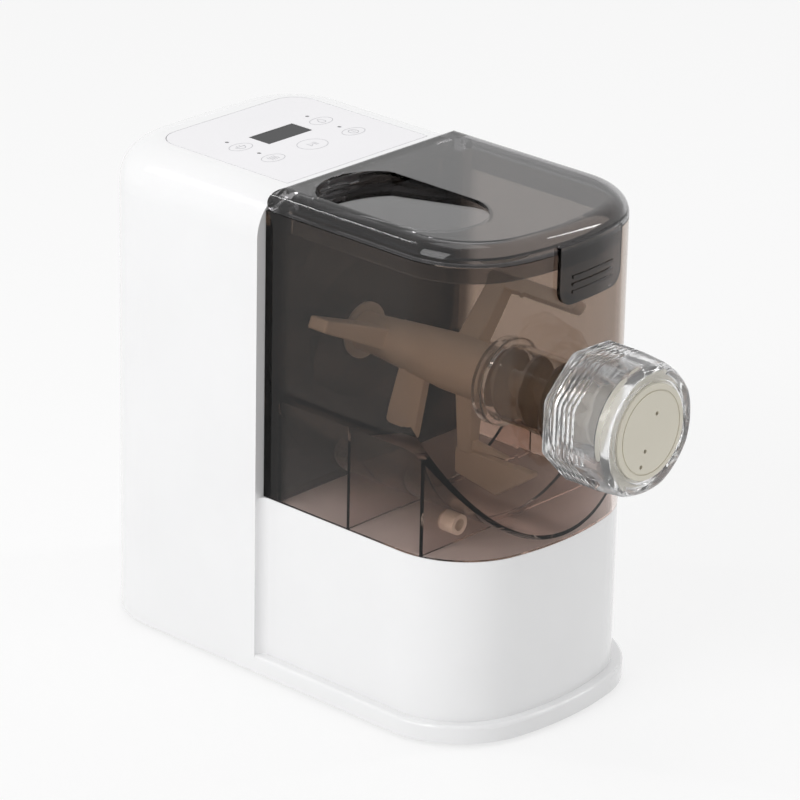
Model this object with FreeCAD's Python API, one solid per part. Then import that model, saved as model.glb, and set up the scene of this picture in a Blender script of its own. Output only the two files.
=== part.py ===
"""Electric pasta maker: tower with drive, front base, clear mixing chamber, extruder and lid.

Frame: X across the width, front at -Y, Z up, millimetres. The rubber feet stand on z = 0 and the
origin is under the middle of the whole machine, halfway between the rear of the plinth and the die.
Along Y everything is placed from the front face of the tower, called the seam.
"""
import FreeCAD, Part
import math
import os

from FreeCAD import Vector as V

# Overall layout
HALF_WIDTH = 81.6
FOOT_DROP = 2.5
TOWER_DEPTH = 134.8
FRONT_REACH = 153.2
BODY_STEP = 6.0
NOZZLE_BEYOND_FRONT = 53.6
TOWER_TOP = 280.0
BASE_TOP = 106.0
CHAMBER_TOP = 271.5
LID_HEIGHT = 11.0
AXIS_Z = 183.5

# Outline of the body seen from above
FRONT_BULGE = 18.2
FRONT_CORNER = 49.0
REAR_BULGE = 5.0
REAR_CORNER = 48.0
PLINTH_HEIGHT = 10.0
PLINTH_EDGE = 2.0
SIDE_GROOVE = 5.0
SHOULDER = 24.0
OVERLAP = 0.5
CUT_BEYOND = 1.0

# Walls and clearances
WALL = 3.0
CLEAR_WALL = 2.6
FIT = 0.3
SHAFT_FIT = 0.08
SEAM_GAP = 0.5
PANEL_GAP = 0.4
SEAT_GAP = 0.2

# Bottom cover, feet and screws
COVER_THICK = 2.5
COVER_INSET = 0.5
FOOT_RADIUS = 9.0
FOOT_RECESS = 1.2
FOOT_EDGE = 0.6
FOOT_GROOVE_OUTER_RATIO = 0.62
FOOT_GROOVE_INNER_RATIO = 0.4
FOOT_SIDE_INSET = 23.6
FOOT_FRONT_INSET = 53.2
FOOT_REAR_INSET = 46.8
VENT_LENGTH = 34.0
VENT_WIDTH = 3.0
VENT_PITCH = 7.0
VENT_COUNT = 7
VENT_REAR_Y = 60.0
VENT_FRONT_Y = -50.0
BOSS_RADIUS = 4.0
BOSS_HEIGHT = 14.0
BOSS_RIB = 2.0
SCREW_RADIUS = 1.5
SCREW_HEAD_RADIUS = 2.9
SCREW_HEAD = 1.8
SCREW_LENGTH = 10.0
SCREW_RECESS_WIDTH = 0.7
SCREW_RECESS_DEPTH = 0.9
COVER_SCREW_INSET = 7.6
COVER_SCREW_FRONT_INSET = 61.2
COVER_SCREW_MIDDLE_Y = -8.0
COVER_SCREW_REAR_INSET = 56.8

# Control panel on top of the tower
PANEL_HALF_WIDTH = 55.0
PANEL_REAR = 105.0
PANEL_FRONT = 4.0
PANEL_CORNER = 16.0
PANEL_THICK = 1.4
DISPLAY_WIDTH = 34.0
DISPLAY_DEPTH = 15.6
DISPLAY_Y = 62.4
DISPLAY_THICK = 1.2
DISPLAY_MODULE = 5.0
DISPLAY_MODULE_RIM = 2.0
KEY_X = 31.5
KEY_REAR_Y = 62.0
KEY_FRONT_Y = 37.4
KEY_SENSOR_RADIUS = 9.0
LAMP_BEHIND_KEY = 10.6
LAMP_RADIUS = 1.1
LAMP_MARGIN = 6.0
ROOF_OPENING_DEPTH = 20.0
BOARD_THICK = 1.6
BOARD_HALF_WIDTH = 48.0
BOARD_FRONT_MARGIN = 20.0
BOARD_REAR_MARGIN = 30.0
BOARD_SCREW_MARGIN = 5.0
ROOF_POST_RADIUS = 3.4

# Mixing chamber
TROUGH_WALL = 2.4
CHAMBER_RIB = 2.0
CHAMBER_RIB_REAR_Y = -11.0
CHAMBER_RIB_FRONT_INSET = 40.2
CHAMBER_REAR_HOLE = 16.0
NECK_RADIUS = 26.0
NECK_REACH = 3.8
NECK_DEPTH = 14.2
PEG_ANGLE = 49.4
PEG_RADIUS = 5.8
PEG_BORE = 3.4
PEG_LENGTH = 11.0

# Lid
LID_PLATE = 2.6
LID_SHOULDER = 10.8
LID_SKIRT_DROP = 10.5
LID_SKIRT_GAP = 1.9
LID_SKIRT_WALL = 1.8
LID_SKIRT_REAR = 16.0
LID_SKIRT_REAR_OPEN = 5.0
HINGE_SETBACK = 6.0
HINGE_PIN_RADIUS = 1.4
HINGE_EAR_RADIUS = 2.9
HINGE_EAR_WIDTH = 6.0
HINGE_EAR_INSET = 15.6
HINGE_EAR_DROP = 14.0
HINGE_SIDE_GAP = 0.5
HINGE_ROOF = 2.2
HINGE_POCKET_DEPTH = 3.0
TAB_X = 10.0
TAB_WIDTH = 52.0
TAB_DROP = 29.0
TAB_RISE = 4.0
TAB_CORNER = 9.0
TAB_WALL = 2.2
TAB_GAP = 0.5
GRIP_RIB_COUNT = 3
GRIP_PITCH = 4.2
GRIP_DEPTH = 0.7
GRIP_MARGIN = 6.0
RECESS_LEFT_INSET = 11.6
RECESS_RIGHT = -7.0
RECESS_REAR = -11.0
RECESS_FRONT = -113.0
RECESS_DEPTH = 8.0
RECESS_NOSE = 0.4
RECESS_WALL = 2.0
RECESS_REAR_CORNER_RATIO = 0.55
WATER_SLOT_WIDTH = 22.0
WATER_SLOT_HEIGHT = 1.8
WATER_SLOT_LIFT = 0.6
WATER_SLOT_REAR = 5.0
WATER_SLOT_FRONT = 6.0

# Extrusion barrel, screw, die and nut
BARREL_RADIUS = 21.5
BARREL_BORE = 19.3
BARREL_INSIDE = 50.2
COLLAR_RADIUS = 24.5
COLLAR_LENGTH = 7.0
COLLAR_EDGE = 0.8
THROAT_SETBACK = 9.0
THROAT_LENGTH = 26.0
THROAT_HALF_WIDTH = 15.0
THROAT_CORNER = 6.0
FLANGE_RADIUS = 25.5
HEAD_RADIUS = 31.4
HEAD_BORE = 27.0
HEAD_STANDOFF = 9.8
HEAD_LENGTH = 33.0
FLANGE_THICK = 4.0
SCREW_CORE = 7.5
SCREW_SHORT_OF_DIE = 3.0
FLIGHT_RADIUS = 18.8
FLIGHT_PITCH = 17.0
FLIGHT_THICK = 3.2
FLIGHT_TIP_RATIO = 0.6
FLIGHT_ROOT_DEPTH = 1.5
NUT_SETBACK = 0.4
NUT_LENGTH = 39.4
NUT_CORNER_RADIUS = 38.3
NUT_SIDE_COUNT = 8
NUT_TURN_ANGLE = 21.0
NUT_EDGE_ROUND = 7.0
NUT_CROWN = 3.0
NUT_NOSE_RADIUS = 34.1
NUT_NOSE = 6.0
NUT_RIB_COUNT = 7
NUT_RIB_PITCH = 3.1
NUT_RIB_DEPTH = 1.3
NUT_RIB_WIDTH = 1.5
NUT_FIRST_RIB = 2.0
NUT_LIP = 2.4
DIE_FACE_RADIUS = 26.6
DIE_FLANGE_RADIUS = 30.8
DIE_FLANGE = 3.0
DIE_PLATE = 5.0
DIE_EDGE = 1.0
DIE_RING_RADIUS = 23.4
DIE_RING_WIDTH = 0.8
DIE_RING_DEPTH = 0.5
DIE_POCKET_WALL = 4.0
DIE_HOLE_RADIUS = 1.2
DIE_HOLE_CIRCLE = 10.4
DIE_HOLE_ANGLE = 66.0
DIE_THIRD_HOLE_CIRCLE = 19.0
DIE_THIRD_HOLE_ANGLE = -112.0

# Mixing paddle: hub, and four arms told apart by where they point in the rest position
HUB_RADIUS = 11.0
HUB_FRONT_RADIUS = 16.0
HUB_REAR = 1.0
HUB_TAPER_REAR = 13.0
HUB_TAPER_FRONT = 68.0
SHAFT_ACROSS = 11.0
SHAFT_REACH = 30.0
PADDLE_EDGE = 1.2
BLADE_EDGE = 0.8
LEFT_ARM_ANGLE = 157.0
LEFT_ARM_Y = -21.5
LEFT_ARM_REACH = 61.0
LEFT_ARM_ROOT_WIDTH = 17.0
LEFT_ARM_TIP_WIDTH = 13.0
LEFT_ARM_ROOT_THICK = 13.0
LEFT_ARM_TIP_THICK = 7.0
LOW_BLADE_ANGLE = -107.0
LOW_BLADE_Y = -44.5
LOW_BLADE_REACH = 48.5
LOW_BLADE_ROOT_WIDTH = 17.0
LOW_BLADE_TIP_WIDTH = 22.0
LOW_BLADE_THICK = 6.0
LOW_BLADE_CORNER = 4.0
TOP_ARM_ANGLE = 50.0
TOP_ARM_Y = -74.0
TOP_ARM_ROOT_WIDTH = 16.0
TOP_ARM_TIP_WIDTH = 13.0
TOP_ARM_ROOT_THICK = 11.0
TOP_ARM_TIP_THICK = 9.0
TOP_BAR_RADIUS = 51.0
TOP_BAR_HEIGHT = 8.0
TOP_BAR_REAR = -66.5
TOP_BAR_FRONT = -128.0
TOP_BAR_CORNER = 3.0
PLOUGH_ANGLE = -90.0
PLOUGH_ARM_Y = -81.0
PLOUGH_ARM_ROOT_WIDTH = 14.0
PLOUGH_ARM_TIP_WIDTH = 9.0
PLOUGH_ARM_ROOT_THICK = 11.0
PLOUGH_ARM_TIP_THICK = 8.0
PLOUGH_TOP_RADIUS = 47.0
PLOUGH_LOW_RADIUS = 67.0
PLOUGH_HEEL_RADIUS = 62.0
PLOUGH_REAR = -74.0
PLOUGH_LOW_FRONT = -104.0
PLOUGH_FRONT = -131.0
PLOUGH_THICK = 5.0
PLOUGH_CORNER = 1.5
FIN_INNER_RADIUS = 40.0
FIN_OUTER_RADIUS = 46.0
FIN_TIP_RADIUS = 44.0
FIN_FRONT = -116.0
FIN_THICK = 3.5
FIN_CORNER = 0.6
FIN_EDGE = 0.4

# Drive train inside the tower
BOSS_DISC_RADIUS = 40.0
DISC_HUB_BEYOND_HOLE = 6.0
DISC_BORE_GAP = 1.0
SEAL_WIDTH = 4.0
SHAFT_RADIUS = 6.0
LAY_SHAFT_RADIUS = 4.0
ROTOR_SHAFT_RADIUS = 3.0
MODULE_SLOW = 1.6
MODULE_FAST = 1.2
PRESSURE_ANGLE = 20.0
DEDENDUM_RATIO = 1.25
OUTPUT_TEETH_COUNT = 56
LAY_PINION_TEETH_COUNT = 12
LAY_WHEEL_TEETH_COUNT = 48
MOTOR_PINION_TEETH_COUNT = 10
BACKLASH = 0.3
OUTPUT_GEAR_Y = 12.0
OUTPUT_GEAR_WIDTH = 12.0
LAY_GEAR_Y = 26.0
LAY_GEAR_WIDTH = 9.0
GEAR_JOIN = 0.2
MOTOR_PINION_EXTRA = 0.5
GEARCASE_WALL = 3.5
GEARCASE_REAR = 38.0
GEARCASE_RADIUS = 53.0
GEARCASE_FOOT_RADIUS = 24.0
GEARCASE_LUG_RADIUS = 4.5
GEARCASE_LUG_TOP_ANGLE = 42.0
GEARCASE_SCREW_LENGTH = 16.0
LAY_SEAT_WALL = 2.5
LAY_SEAT_LENGTH = 3.0
BEARING_WALL = 3.0
BEARING_PROUD = 2.0
MOTOR_HOLE_GAP = 1.5
MOTOR_RADIUS = 32.0
MOTOR_LENGTH = 64.0
MOTOR_WALL = 2.0
MAGNET_THICK = 6.0
MAGNET_SPAN_ANGLE = 130.0
ROTOR_RADIUS = 21.0
ROTOR_LENGTH = 40.0
ROTOR_SETBACK = 10.0
ROTOR_SLOT_COUNT = 5
ROTOR_SLOT_WIDTH = 4.0
ROTOR_SLOT_ROOT_RATIO = 0.55
MOTOR_CAP = 5.0
FAN_GAP = 3.0
FAN_RADIUS = 24.0
FAN_HUB_RADIUS = 7.0
FAN_DISC = 1.5
FAN_BLADE_COUNT = 7
FAN_BLADE_THICK = 1.6
FAN_BLADE_INSET = 0.5
FAN_WIDTH = 9.0
SADDLE_WIDTH = 12.0
SADDLE_HALF = 22.0
SADDLE_REAR_INSET = 6.0
SADDLE_FOOT_REACH = 12.0
SADDLE_FOOT_HEIGHT = 4.0
SADDLE_GRIP_RATIO = 0.62

# Electrics
POWER_BOARD_HALF_WIDTH = 42.0
POWER_BOARD_LENGTH = 96.0
POWER_BOARD_FRONT_INSET = 35.2
POWER_POST = 6.0
POWER_POST_RADIUS = 3.0
POWER_POST_MARGIN = 5.0
TRANSFORMER_SIDE = 31.0
TRANSFORMER_HEIGHT = 26.0
TRANSFORMER_X = -15.0
TRANSFORMER_BACK = 56.0
RELAY_WIDTH = 16.0
RELAY_LENGTH = 20.0
RELAY_HEIGHT = 15.0
RELAY_X = 20.0
RELAY_BACK = 76.0
SINK_LENGTH = 28.0
SINK_HEIGHT = 24.0
SINK_PLATE = 3.0
SINK_X = -20.0
SINK_BACK = 17.5
SINK_FIN_COUNT = 6
SINK_FIN_THICK = 2.0
SINK_FIN_DEPTH = 7.0
CAPACITOR_RADIUS = 7.0
CAPACITOR_HEIGHT = 24.0
CAPACITOR_X = 16.0
CAPACITOR_BACK = 20.0
CAPACITOR_PITCH = 22.0
INLET_WIDTH = 27.0
INLET_HEIGHT = 20.0
INLET_DEPTH = 18.0
INLET_Z = 34.0
INLET_RIM = 2.5
INLET_RIM_THICK = 2.0
INLET_SUNK = 0.6
INLET_WALL = 2.0
INLET_BACK = 4.0
INLET_CORNER = 5.0
PIN_RADIUS = 2.0
PIN_SPACING = 12.0
PIN_SHORT = 4.0
PIN_TAIL = 6.0

# Sizes that follow from the ones above
NOZZLE_REACH = FRONT_REACH + NOZZLE_BEYOND_FRONT
SEAM_Y = (NOZZLE_REACH - TOWER_DEPTH) / 2
LID_TOP = CHAMBER_TOP + LID_HEIGHT
BODY_HALF = HALF_WIDTH - BODY_STEP
TROUGH_RADIUS = min(BODY_HALF - CLEAR_WALL, AXIS_Z - BASE_TOP - SEAT_GAP - TROUGH_WALL)
PEG_DISTANCE = TROUGH_RADIUS + TROUGH_WALL + PEG_RADIUS + SEAM_GAP
PEG_X = -PEG_DISTANCE * math.cos(math.radians(PEG_ANGLE))
PEG_Z = AXIS_Z - PEG_DISTANCE * math.sin(math.radians(PEG_ANGLE))
PEG_REAR = -FRONT_REACH + CHAMBER_RIB_FRONT_INSET + CHAMBER_RIB / 2
NECK_FRONT = FRONT_REACH + NECK_REACH
NECK_REAR = FRONT_REACH - NECK_DEPTH
BARREL_REAR = FRONT_REACH - BARREL_INSIDE
HEAD_REAR = FRONT_REACH + HEAD_STANDOFF
HEAD_FRONT = HEAD_REAR + HEAD_LENGTH
NUT_REAR = HEAD_REAR - NUT_SETBACK
NUT_FRONT = NUT_REAR + NUT_LENGTH
TAB_BOTTOM = CHAMBER_TOP - TAB_DROP
RECESS_LEFT = -BODY_HALF + RECESS_LEFT_INSET
POWER_BOARD_Y = -FRONT_REACH + POWER_BOARD_FRONT_INSET
LAY_Z = AXIS_Z - (OUTPUT_TEETH_COUNT + LAY_PINION_TEETH_COUNT) * MODULE_SLOW / 2
MOTOR_Z = LAY_Z - (LAY_WHEEL_TEETH_COUNT + MOTOR_PINION_TEETH_COUNT) * MODULE_FAST / 2

X = V(1, 0, 0)
Y = V(0, 1, 0)
FORWARD = V(0, -1, 0)
BIG = 600.0
NEAR = 0.01
NODES = {}


def seam(y):
    """Row position of a distance behind (+) or in front of (-) the seam."""
    return SEAM_Y + y


def box(x0, x1, y0, y1, z0, z1):
    """Box between two corners, with y counted from the seam."""
    return Part.makeBox(x1 - x0, y1 - y0, z1 - z0, V(x0, seam(y0), z0))


def rod(radius, y_rear, y_front, x=0.0, z=AXIS_Z):
    """Cylinder along Y from y_rear forward to y_front, both counted from the seam."""
    return Part.makeCylinder(radius, y_rear - y_front, V(x, seam(y_rear), z), FORWARD)


def ring(outer, inner, y_rear, y_front, x=0.0, z=AXIS_Z):
    """Tube along Y."""
    return rod(outer, y_rear, y_front, x, z).cut(rod(inner, y_rear + CUT_BEYOND, y_front - CUT_BEYOND, x,
                                                     z))


def post(radius, x, y, z0, z1):
    """Upright cylinder."""
    return Part.makeCylinder(radius, z1 - z0, V(x, seam(y), z0))


def fuse(shapes):
    """One solid out of several that overlap."""
    shapes = list(shapes)
    joined = shapes[0].fuse(shapes[1:]) if len(shapes) > 1 else shapes[0]
    return joined.removeSplitter()


def is_upright(edge):
    """True for a straight edge along Z."""
    return edge.Length > 1 and abs(abs(edge.tangentAt(edge.FirstParameter).z) - 1) < 1e-6


def line(a, b):
    """Straight edge."""
    return Part.LineSegment(a, b).toShape()


def arc(a, middle, b):
    """Arc through three points."""
    return Part.Arc(a, middle, b).toShape()


def bulged_prism(half, front, rear, z0, z1, bulge=0.0, front_r=0.0, rear_bulge=0.0, rear_r=0.0):
    """Upright prism with bowed front and rear walls and rounded corners."""
    rear_left, rear_right = (V(x, seam(rear - rear_bulge), z0) for x in (-half, half))
    front_left, front_right = (V(x, seam(front + bulge), z0) for x in (-half, half))
    front_edge = line(front_left, front_right)
    if bulge:
        front_edge = arc(front_left, V(0, seam(front), z0), front_right)
    rear_edge = line(rear_right, rear_left)
    if rear_bulge:
        rear_edge = arc(rear_right, V(0, seam(rear), z0), rear_left)
    edges = [line(rear_left, front_left), front_edge, line(front_right, rear_right), rear_edge]
    solid = Part.Face(Part.Wire(edges)).extrude(V(0, 0, z1 - z0))
    middle = seam((front + rear) / 2)
    for radius, at_front in ((front_r, True), (rear_r, False)):
        if radius:
            picked = [e for e in solid.Edges if is_upright(e) and (e.CenterOfMass.y < middle) == at_front]
            solid = solid.makeFillet(radius, picked)
    return solid


def body_outline(inset, z0, z1, rear=0.0):
    """Outline of the front base, chamber and lid, drawn in by inset."""
    front = -FRONT_REACH + inset
    return bulged_prism(BODY_HALF - inset, front, rear, z0, z1, FRONT_BULGE, FRONT_CORNER - inset)


def tower_outline(inset, z0, z1, front=0.0):
    """Outline of the tower, drawn in by inset."""
    rear = TOWER_DEPTH - inset
    return bulged_prism(HALF_WIDTH - inset, front, rear, z0, z1, 0, 0, REAR_BULGE, REAR_CORNER - inset)


def plinth_outline(inset, z0, z1):
    """Outline of the plinth, drawn in by inset."""
    return bulged_prism(HALF_WIDTH - inset, -FRONT_REACH - BODY_STEP + inset, TOWER_DEPTH - inset, z0, z1,
                        FRONT_BULGE, FRONT_CORNER + BODY_STEP - inset, REAR_BULGE, REAR_CORNER - inset)


def edges_at(solid, z, y_min=-BIG, y_max=BIG):
    """Edges that lie wholly at height z with centres between two distances from the seam."""
    found = []
    for e in solid.Edges:
        flat = all(abs(v.Z - z) < NEAR for v in e.Vertexes) and abs(e.BoundBox.ZLength) < NEAR
        if flat and y_min <= e.BoundBox.Center.y - SEAM_Y <= y_max:
            found.append(e)
    return found


def shouldered_tower(inset, z0, z1, front, radius):
    """Tower block with its side and rear top edges rounded."""
    block = tower_outline(inset, z0, z1, front)
    return block.makeFillet(radius, edges_at(block, z1, front + CUT_BEYOND))


def cover_screw_places():
    """Screw positions of the bottom cover."""
    rows = (-FRONT_REACH + COVER_SCREW_FRONT_INSET, COVER_SCREW_MIDDLE_Y,
            TOWER_DEPTH - COVER_SCREW_REAR_INSET)
    return [(side * (HALF_WIDTH - COVER_SCREW_INSET), y) for side in (-1, 1) for y in rows]


def screw_boss(x, y):
    """Boss for one cover screw, tied to the side wall by a rib."""
    z0 = FOOT_DROP + COVER_THICK + SEAT_GAP
    z1 = z0 + BOSS_HEIGHT
    side = math.copysign(1, x)
    wall_x = side * ((HALF_WIDTH if y > 0 else BODY_HALF) - WALL + OVERLAP)
    boss = post(BOSS_RADIUS, x, y, z0, z1)
    if abs(x) < abs(wall_x):
        low, high = min(x, wall_x), max(x, wall_x)
        boss = boss.fuse(box(low, high, y - BOSS_RIB / 2, y + BOSS_RIB / 2, z0 + BOSS_HEIGHT / 2, z1))
    return boss


def make_housing():
    """White moulding of plinth, front base and tower, open below."""
    ledge = FOOT_DROP + PLINTH_HEIGHT
    under = FOOT_DROP - CUT_BEYOND
    into_tower = 2 * WALL
    plinth = plinth_outline(0, FOOT_DROP, ledge)
    plinth = plinth.makeFillet(PLINTH_EDGE, edges_at(plinth, ledge, -BIG, -CUT_BEYOND))
    outer = fuse([plinth, body_outline(0, FOOT_DROP, BASE_TOP, into_tower),
                  shouldered_tower(0, FOOT_DROP, TOWER_TOP, 0, SHOULDER)])
    grooves = [e for e in outer.Edges if is_upright(e) and abs(e.CenterOfMass.y - SEAM_Y) < NEAR
               and abs(abs(e.CenterOfMass.x) - BODY_HALF) < NEAR and e.Length < BASE_TOP]
    outer = outer.makeFillet(SIDE_GROOVE, grooves)
    inner = fuse([plinth_outline(WALL, under, ledge - WALL),
                  body_outline(WALL, under, BASE_TOP - WALL, into_tower),
                  shouldered_tower(WALL, under, TOWER_TOP - WALL - PANEL_THICK, WALL, SHOULDER - WALL)])
    bosses = [screw_boss(x, y) for x, y in cover_screw_places()]
    housing = fuse([outer.cut(inner)] + bosses + roof_posts()).common(outer)
    holes = [post(SCREW_RADIUS, x, y, 0, FOOT_DROP + COVER_THICK + SCREW_LENGTH + CUT_BEYOND)
             for x, y in cover_screw_places()]
    holes += [post(SCREW_RADIUS, x, y, board_level() - CUT_BEYOND, TOWER_TOP - WALL) for x,
              y in board_places()]
    disc_hole = rod(BOSS_DISC_RADIUS + FIT, WALL + CUT_BEYOND, -CUT_BEYOND)
    half_width = INLET_WIDTH / 2 + FIT
    half_height = INLET_HEIGHT / 2 + FIT
    inlet = box(-half_width, half_width, TOWER_DEPTH - 2 * WALL, TOWER_DEPTH + CUT_BEYOND,
                INLET_Z - half_height, INLET_Z + half_height)
    seat = panel_blank(PANEL_GAP, TOWER_TOP - PANEL_THICK - SEAT_GAP / 2, TOWER_TOP + CUT_BEYOND)
    return housing.cut(holes + [disc_hole, inlet, seat, panel_window()])


def panel_blank(grow, z0, z1):
    """Outline of the control panel, grown by a gap."""
    half = PANEL_HALF_WIDTH + grow
    return bulged_prism(half, PANEL_FRONT - grow, PANEL_REAR + grow, z0, z1, 0, 0, 0, PANEL_CORNER)


def panel_window():
    """Opening under the panel for the display and the key sensors."""
    half = KEY_X + KEY_SENSOR_RADIUS
    rear = KEY_REAR_Y + LAMP_BEHIND_KEY + LAMP_MARGIN
    return box(-half, half, KEY_FRONT_Y - KEY_SENSOR_RADIUS, rear, TOWER_TOP - ROOF_OPENING_DEPTH,
               TOWER_TOP + CUT_BEYOND)


def lamp_places():
    """Positions of the four status lamps."""
    return [(side * KEY_X, y + LAMP_BEHIND_KEY) for side in (-1, 1) for y in (KEY_REAR_Y, KEY_FRONT_Y)]


def board_level():
    """Height of the control board's upper face."""
    return TOWER_TOP - PANEL_THICK - DISPLAY_MODULE


def board_places():
    """Places where the control board is screwed up to the roof, beside the opening."""
    x = BOARD_HALF_WIDTH - BOARD_SCREW_MARGIN + SCREW_RADIUS
    rows = (KEY_FRONT_Y - BOARD_FRONT_MARGIN + BOARD_SCREW_MARGIN,
            KEY_REAR_Y + BOARD_REAR_MARGIN - BOARD_SCREW_MARGIN)
    return [(side * x, y) for side in (-1, 1) for y in rows]


def roof_posts():
    """Short posts under the roof that carry the control board."""
    return [post(ROOF_POST_RADIUS, x, y, board_level(), TOWER_TOP - PANEL_THICK - WALL + OVERLAP)
            for x, y in board_places()]


def make_panel():
    """Flat inlay with the display cut-out and lamp holes, its display, its lamps and the board below."""
    floor = TOWER_TOP - PANEL_THICK
    panel = panel_blank(0, floor, TOWER_TOP)
    w, d = DISPLAY_WIDTH / 2, DISPLAY_DEPTH / 2
    g = SEAT_GAP / 2
    rim = DISPLAY_MODULE_RIM
    panel = panel.cut(box(-w - g, w + g, DISPLAY_Y - d - g, DISPLAY_Y + d + g, floor - CUT_BEYOND,
                          TOWER_TOP + CUT_BEYOND))
    for x, y in lamp_places():
        panel = panel.cut(post(LAMP_RADIUS + g, x, y, floor - CUT_BEYOND, TOWER_TOP + CUT_BEYOND))
    window = box(-w, w, DISPLAY_Y - d, DISPLAY_Y + d, floor, floor + DISPLAY_THICK)
    module = box(-w - rim, w + rim, DISPLAY_Y - d - rim, DISPLAY_Y + d + rim, board_level(), floor - g)
    lamps = [post(LAMP_RADIUS, x, y, board_level(), TOWER_TOP - g) for x, y in lamp_places()]
    board = box(-BOARD_HALF_WIDTH, BOARD_HALF_WIDTH, KEY_FRONT_Y - BOARD_FRONT_MARGIN,
                KEY_REAR_Y + BOARD_REAR_MARGIN,
                board_level() - BOARD_THICK, board_level())
    for x, y in board_places():
        board = board.cut(post(SCREW_RADIUS + FIT, x, y, board_level() - BOARD_THICK - CUT_BEYOND,
                               TOWER_TOP))
    return panel, window, module, Part.makeCompound(lamps), board


def make_bottom_cover():
    """Bottom plate with vents, foot recesses, screw holes and board posts."""
    z0, z1 = FOOT_DROP, FOOT_DROP + COVER_THICK
    below, above = z0 - CUT_BEYOND, z1 + CUT_BEYOND
    cuts = [post(FOOT_RADIUS + SEAT_GAP, x, y, below, z0 + FOOT_RECESS) for x, y in foot_places()]
    for x, y in cover_screw_places():
        cuts.append(post(SCREW_RADIUS + FIT, x, y, below, above))
        cuts.append(post(SCREW_HEAD_RADIUS + FIT, x, y, below, z0 + SCREW_HEAD))
    first = -(VENT_COUNT - 1) / 2 * VENT_PITCH
    half = VENT_LENGTH / 2
    for middle in (VENT_REAR_Y, VENT_FRONT_Y):
        for i in range(VENT_COUNT):
            y = middle + first + i * VENT_PITCH
            cuts.append(box(-half, half, y - VENT_WIDTH / 2, y + VENT_WIDTH / 2, below, above))
    plate = plinth_outline(WALL + COVER_INSET, z0, z1).cut(cuts)
    posts = [post(POWER_POST_RADIUS, x, y, z1 - OVERLAP, z1 + POWER_POST) for x, y in power_post_places()]
    return fuse([plate] + posts)


def power_post_places():
    """Posts under the corners of the power board."""
    x = POWER_BOARD_HALF_WIDTH - POWER_POST_MARGIN
    ends = (POWER_POST_MARGIN, POWER_BOARD_LENGTH - POWER_POST_MARGIN)
    return [(side * x, POWER_BOARD_Y + y) for side in (-1, 1) for y in ends]


def block_on(x, y, width, length, z0, height):
    """Box standing at z0, centred on x and y."""
    return box(x - width / 2, x + width / 2, y - length / 2, y + length / 2, z0, z0 + height)


def make_power_board():
    """Power board with its transformer, relay, heat sink and capacitors, all resting on the board."""
    z0 = FOOT_DROP + COVER_THICK + POWER_POST
    z1 = z0 + BOARD_THICK
    y0 = POWER_BOARD_Y
    board = box(-POWER_BOARD_HALF_WIDTH, POWER_BOARD_HALF_WIDTH, y0, y0 + POWER_BOARD_LENGTH, z0, z1)
    transformer = block_on(TRANSFORMER_X, y0 + TRANSFORMER_BACK, TRANSFORMER_SIDE, TRANSFORMER_SIDE, z1,
                           TRANSFORMER_HEIGHT)
    relay = block_on(RELAY_X, y0 + RELAY_BACK, RELAY_WIDTH, RELAY_LENGTH, z1, RELAY_HEIGHT)
    fins = [block_on(SINK_X, y0 + SINK_BACK, SINK_LENGTH, SINK_PLATE, z1, SINK_HEIGHT)]
    step = (SINK_LENGTH - SINK_FIN_THICK) / (SINK_FIN_COUNT - 1)
    fin_y = y0 + SINK_BACK - SINK_FIN_DEPTH / 2
    for i in range(SINK_FIN_COUNT):
        x = SINK_X - (SINK_LENGTH - SINK_FIN_THICK) / 2 + i * step
        fins.append(block_on(x, fin_y, SINK_FIN_THICK, SINK_FIN_DEPTH, z1, SINK_HEIGHT))
    cans = [post(CAPACITOR_RADIUS, CAPACITOR_X, y0 + CAPACITOR_BACK + i * CAPACITOR_PITCH, z1,
                 z1 + CAPACITOR_HEIGHT)
            for i in range(2)]
    return board, Part.makeCompound([transformer, relay]), Part.makeCompound(cans), fuse(fins)


def foot_places():
    """Centres of the four feet."""
    rows = (-FRONT_REACH + FOOT_FRONT_INSET, TOWER_DEPTH - FOOT_REAR_INSET)
    return [(side * (HALF_WIDTH - FOOT_SIDE_INSET), y) for y in rows for side in (-1, 1)]


def make_foot(x, y):
    """Rubber foot with a shallow ring groove underneath."""
    foot = post(FOOT_RADIUS, x, y, 0, FOOT_DROP + FOOT_RECESS)
    foot = foot.makeFillet(FOOT_EDGE, edges_at(foot, 0))
    groove = post(FOOT_RADIUS * FOOT_GROOVE_OUTER_RATIO, x, y, -CUT_BEYOND, FOOT_EDGE)
    return foot.cut(groove.cut(post(FOOT_RADIUS * FOOT_GROOVE_INNER_RATIO, x, y, -CUT_BEYOND, CUT_BEYOND)))


def make_screw(length):
    """Pan head screw with a cross recess, pointing up from the origin."""
    head = Part.makeCylinder(SCREW_HEAD_RADIUS, SCREW_HEAD)
    shank = Part.makeCylinder(SCREW_RADIUS - SHAFT_FIT, length + SCREW_HEAD)
    arm = SCREW_HEAD_RADIUS * 2 / 3
    half = SCREW_RECESS_WIDTH / 2
    screw = head.fuse(shank).removeSplitter()
    bars = [Part.makeBox(2 * arm, 2 * half, SCREW_RECESS_DEPTH, V(-arm, -half, 0)),
            Part.makeBox(2 * half, 2 * arm, SCREW_RECESS_DEPTH, V(-half, -arm, 0))]
    return screw.cut(bars)


def upright_screw(length, x, y, z):
    """Screw that goes up into a boss, with its head at the bottom."""
    screw = make_screw(length)
    screw.translate(V(x, seam(y), z))
    return screw


def lying_screw(length, x, y, z):
    """Screw that goes forward along the drive axis, with its head at the rear."""
    screw = make_screw(length)
    screw.rotate(V(0, 0, 0), X, 90)
    screw.translate(V(x, seam(y), z))
    return screw


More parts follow.
